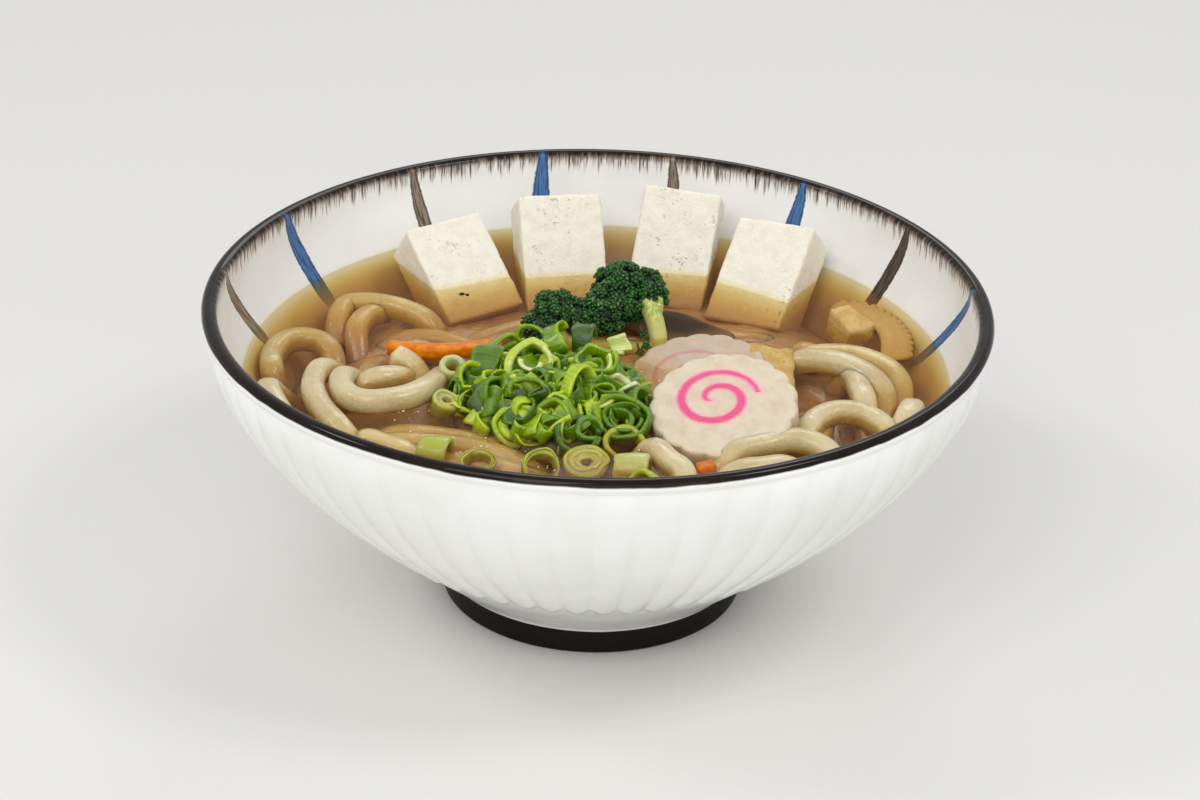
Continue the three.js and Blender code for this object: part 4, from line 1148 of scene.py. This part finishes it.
def makeSunkBand():
    line = smoothLine(sunkBand["points"], sunkBand["spacing"])
    shapes = [tube(sunkBand["points"], sunkBand["width"], sunkBand["height"], 16, 1.0, tip=2.0)]
    for before, spot, after in zip(line, line[1:], line[2:]):
        side = np.cross(unit(after - before), (0, 0, 1))
        outwards = side * copysign(sunkBand["width"] / 2 - 0.4, side @ spot)
        shapes.append(ballAt(ball, sunkBand["scallop"], spot + outwards))
    makePiece("sunkBand", joinShapes(shapes), sunkFinish("sunkSlice", sunkBand["colour"]), "fish_cake")


def makeDarkSheet():
    count, rings, points, fromEdge = 60, 10, [], []
    (long, wide), parts = darkSheet["reach"], np.arange(rings) / (rings - 1)
    for side, sideParts in ((-1, parts), (1, 1 - parts)):
        for part in sideParts:
            height = side * 0.25 - darkSheet["droop"] * part * part
            for c, s in circle(count):
                reach = max(0.01, part) * (1 + 0.35 * wobble(1.3 * c, 1.3 * s, 0, 4))
                points.append((long * reach * c, wide * reach * s, height))
                fromEdge.append(1 - part)
    points = turned(points, 0, 0, darkSheet["turn"]) + darkSheet["centre"]
    shape = (points, ringFaces(2 * rings, count, False, False), {"fromEdge": fromEdge})
    makePiece("sunkDarkSheet", shape, sunkFinish("darkSheet", darkSheet["colour"], True), "scallion")


def makeHerbs():
    draw = random.Random(31)
    shapes = []
    for spot, size in herbs["flecks"]:
        flat, faces = ballAt(ball, (size * draw.uniform(1, 1.6), size, 0.35), 0)
        shapes.append((turned(flat, 0, 0, draw.uniform(0, 180)) + spot, faces))
    makePiece("herbFlecks", joinShapes(shapes), sunkFinish("herb", herbs["colour"]), "scallion")


makeSunkBand()
makeDarkSheet()
makeHerbs()
print("small things are made")


# broth, and small pale domes round what floats: bubbles, and partly painted glints of light on the broth

bubblesAndGlints = {
    "count": 120, "sizes": (0.14, 0.3), "colour": colour(240, 232, 208), "shade": colour(206, 186, 140),
    "middle": (-8, -24), "reach": (25, 37), "stretch": 1.25, "clearOfWall": 4,
}


def brothTopFinish():
    newFinish("brothSurface")
    clear = add("BsdfTransparent", {"Color": brothLook["tint"]})
    film = add("BsdfDiffuse", {"Color": brothLook["veilColour"]})
    ripple = bumped(grain(22, 1), brothLook["ripple"])
    gloss = add("BsdfAnisotropic", {"Roughness": 0.06, "Color": white, "Normal": ripple})
    body = add("MixShader", {0: brothLook["veil"], 1: clear, 2: film})
    mirror = add("Fresnel", {"IOR": 1.33}) * brothLook["mirror"]
    return surfaceOnly(add("MixShader", {0: mirror, 1: body, 2: gloss}))


def brothSideFinish():
    newFinish("brothSide")
    return surfaceOnly(add("BsdfTransparent", {"Color": white}))


def brothDepthFinish():
    newFinish("brothDepth", 0.6)
    return finished(blend(grain(14, 3), brothLook["murk"], brothLook["murk2"]))


def makeBroth(edge):
    count, level = 180, brothLevel
    profile = [(0.002, level)] + [(edge * part, level) for part in np.linspace(0.08, 0.97, 12)]
    profile += [(edge - 1.2, level + 0.02), (edge - 0.5, level + 0.12), (edge, level + 0.35)]
    topRows = len(profile) - 1
    profile += [(insideRadius(height) - 0.35, height) for height in (64.5, 62, 58, 54, 50)]
    clearRows = len(profile) - 1
    profile += [(insideRadius(height) - 0.4, height) for height in (46, 40, 34, 27, 20)]
    profile += [(bowl["floorRadius"], bowl["floorHeight"] + 0.9), (0.002, bowl["floorHeight"] + 0.4)]
    faces = [face[::-1] for face in ringFaces(len(profile), count, False, False)]
    piece = makePiece("broth", (spun(profile, count), faces), brothTopFinish(), "broth", "broth")
    piece.data.materials.append(brothSideFinish())
    piece.data.materials.append(brothDepthFinish())
    for index, face in enumerate(piece.data.polygons):
        row = index // count
        face.material_index = 0 if row < topRows else 1 if row < clearRows else 2


def makeBubblesAndGlints(edge):
    draw = random.Random(8)
    shapes = []
    while len(shapes) < bubblesAndGlints["count"]:
        turn, reach = draw.uniform(0, 2 * pi), draw.uniform(*bubblesAndGlints["reach"])
        x = bubblesAndGlints["middle"][0] + reach * bubblesAndGlints["stretch"] * cos(turn)
        y = bubblesAndGlints["middle"][1] + reach * sin(turn)
        if y > 0 or hypot(x, y) > edge - bubblesAndGlints["clearOfWall"]:
            continue
        size = draw.uniform(*bubblesAndGlints["sizes"])
        shapes.append(ballAt(ball, (size, size, size * 0.7), (x, y, brothLevel + 0.1)))
    # the near-white colour is partly foam, partly painted highlight standing for glints on the broth
    newFinish("bubbleAndGlintFoam", 0.1)
    foamAndGlint = finished(mottled(bubblesAndGlints["colour"], bubblesAndGlints["shade"], 1.5, 2, 0.4, 0.6))
    makePiece("bubblesAndGlints", joinShapes(shapes), foamAndGlint, "broth")


brothEdge = insideRadius(brothLevel) - 0.15
makeBroth(brothEdge)
makeBubblesAndGlints(brothEdge)
print("broth is made")
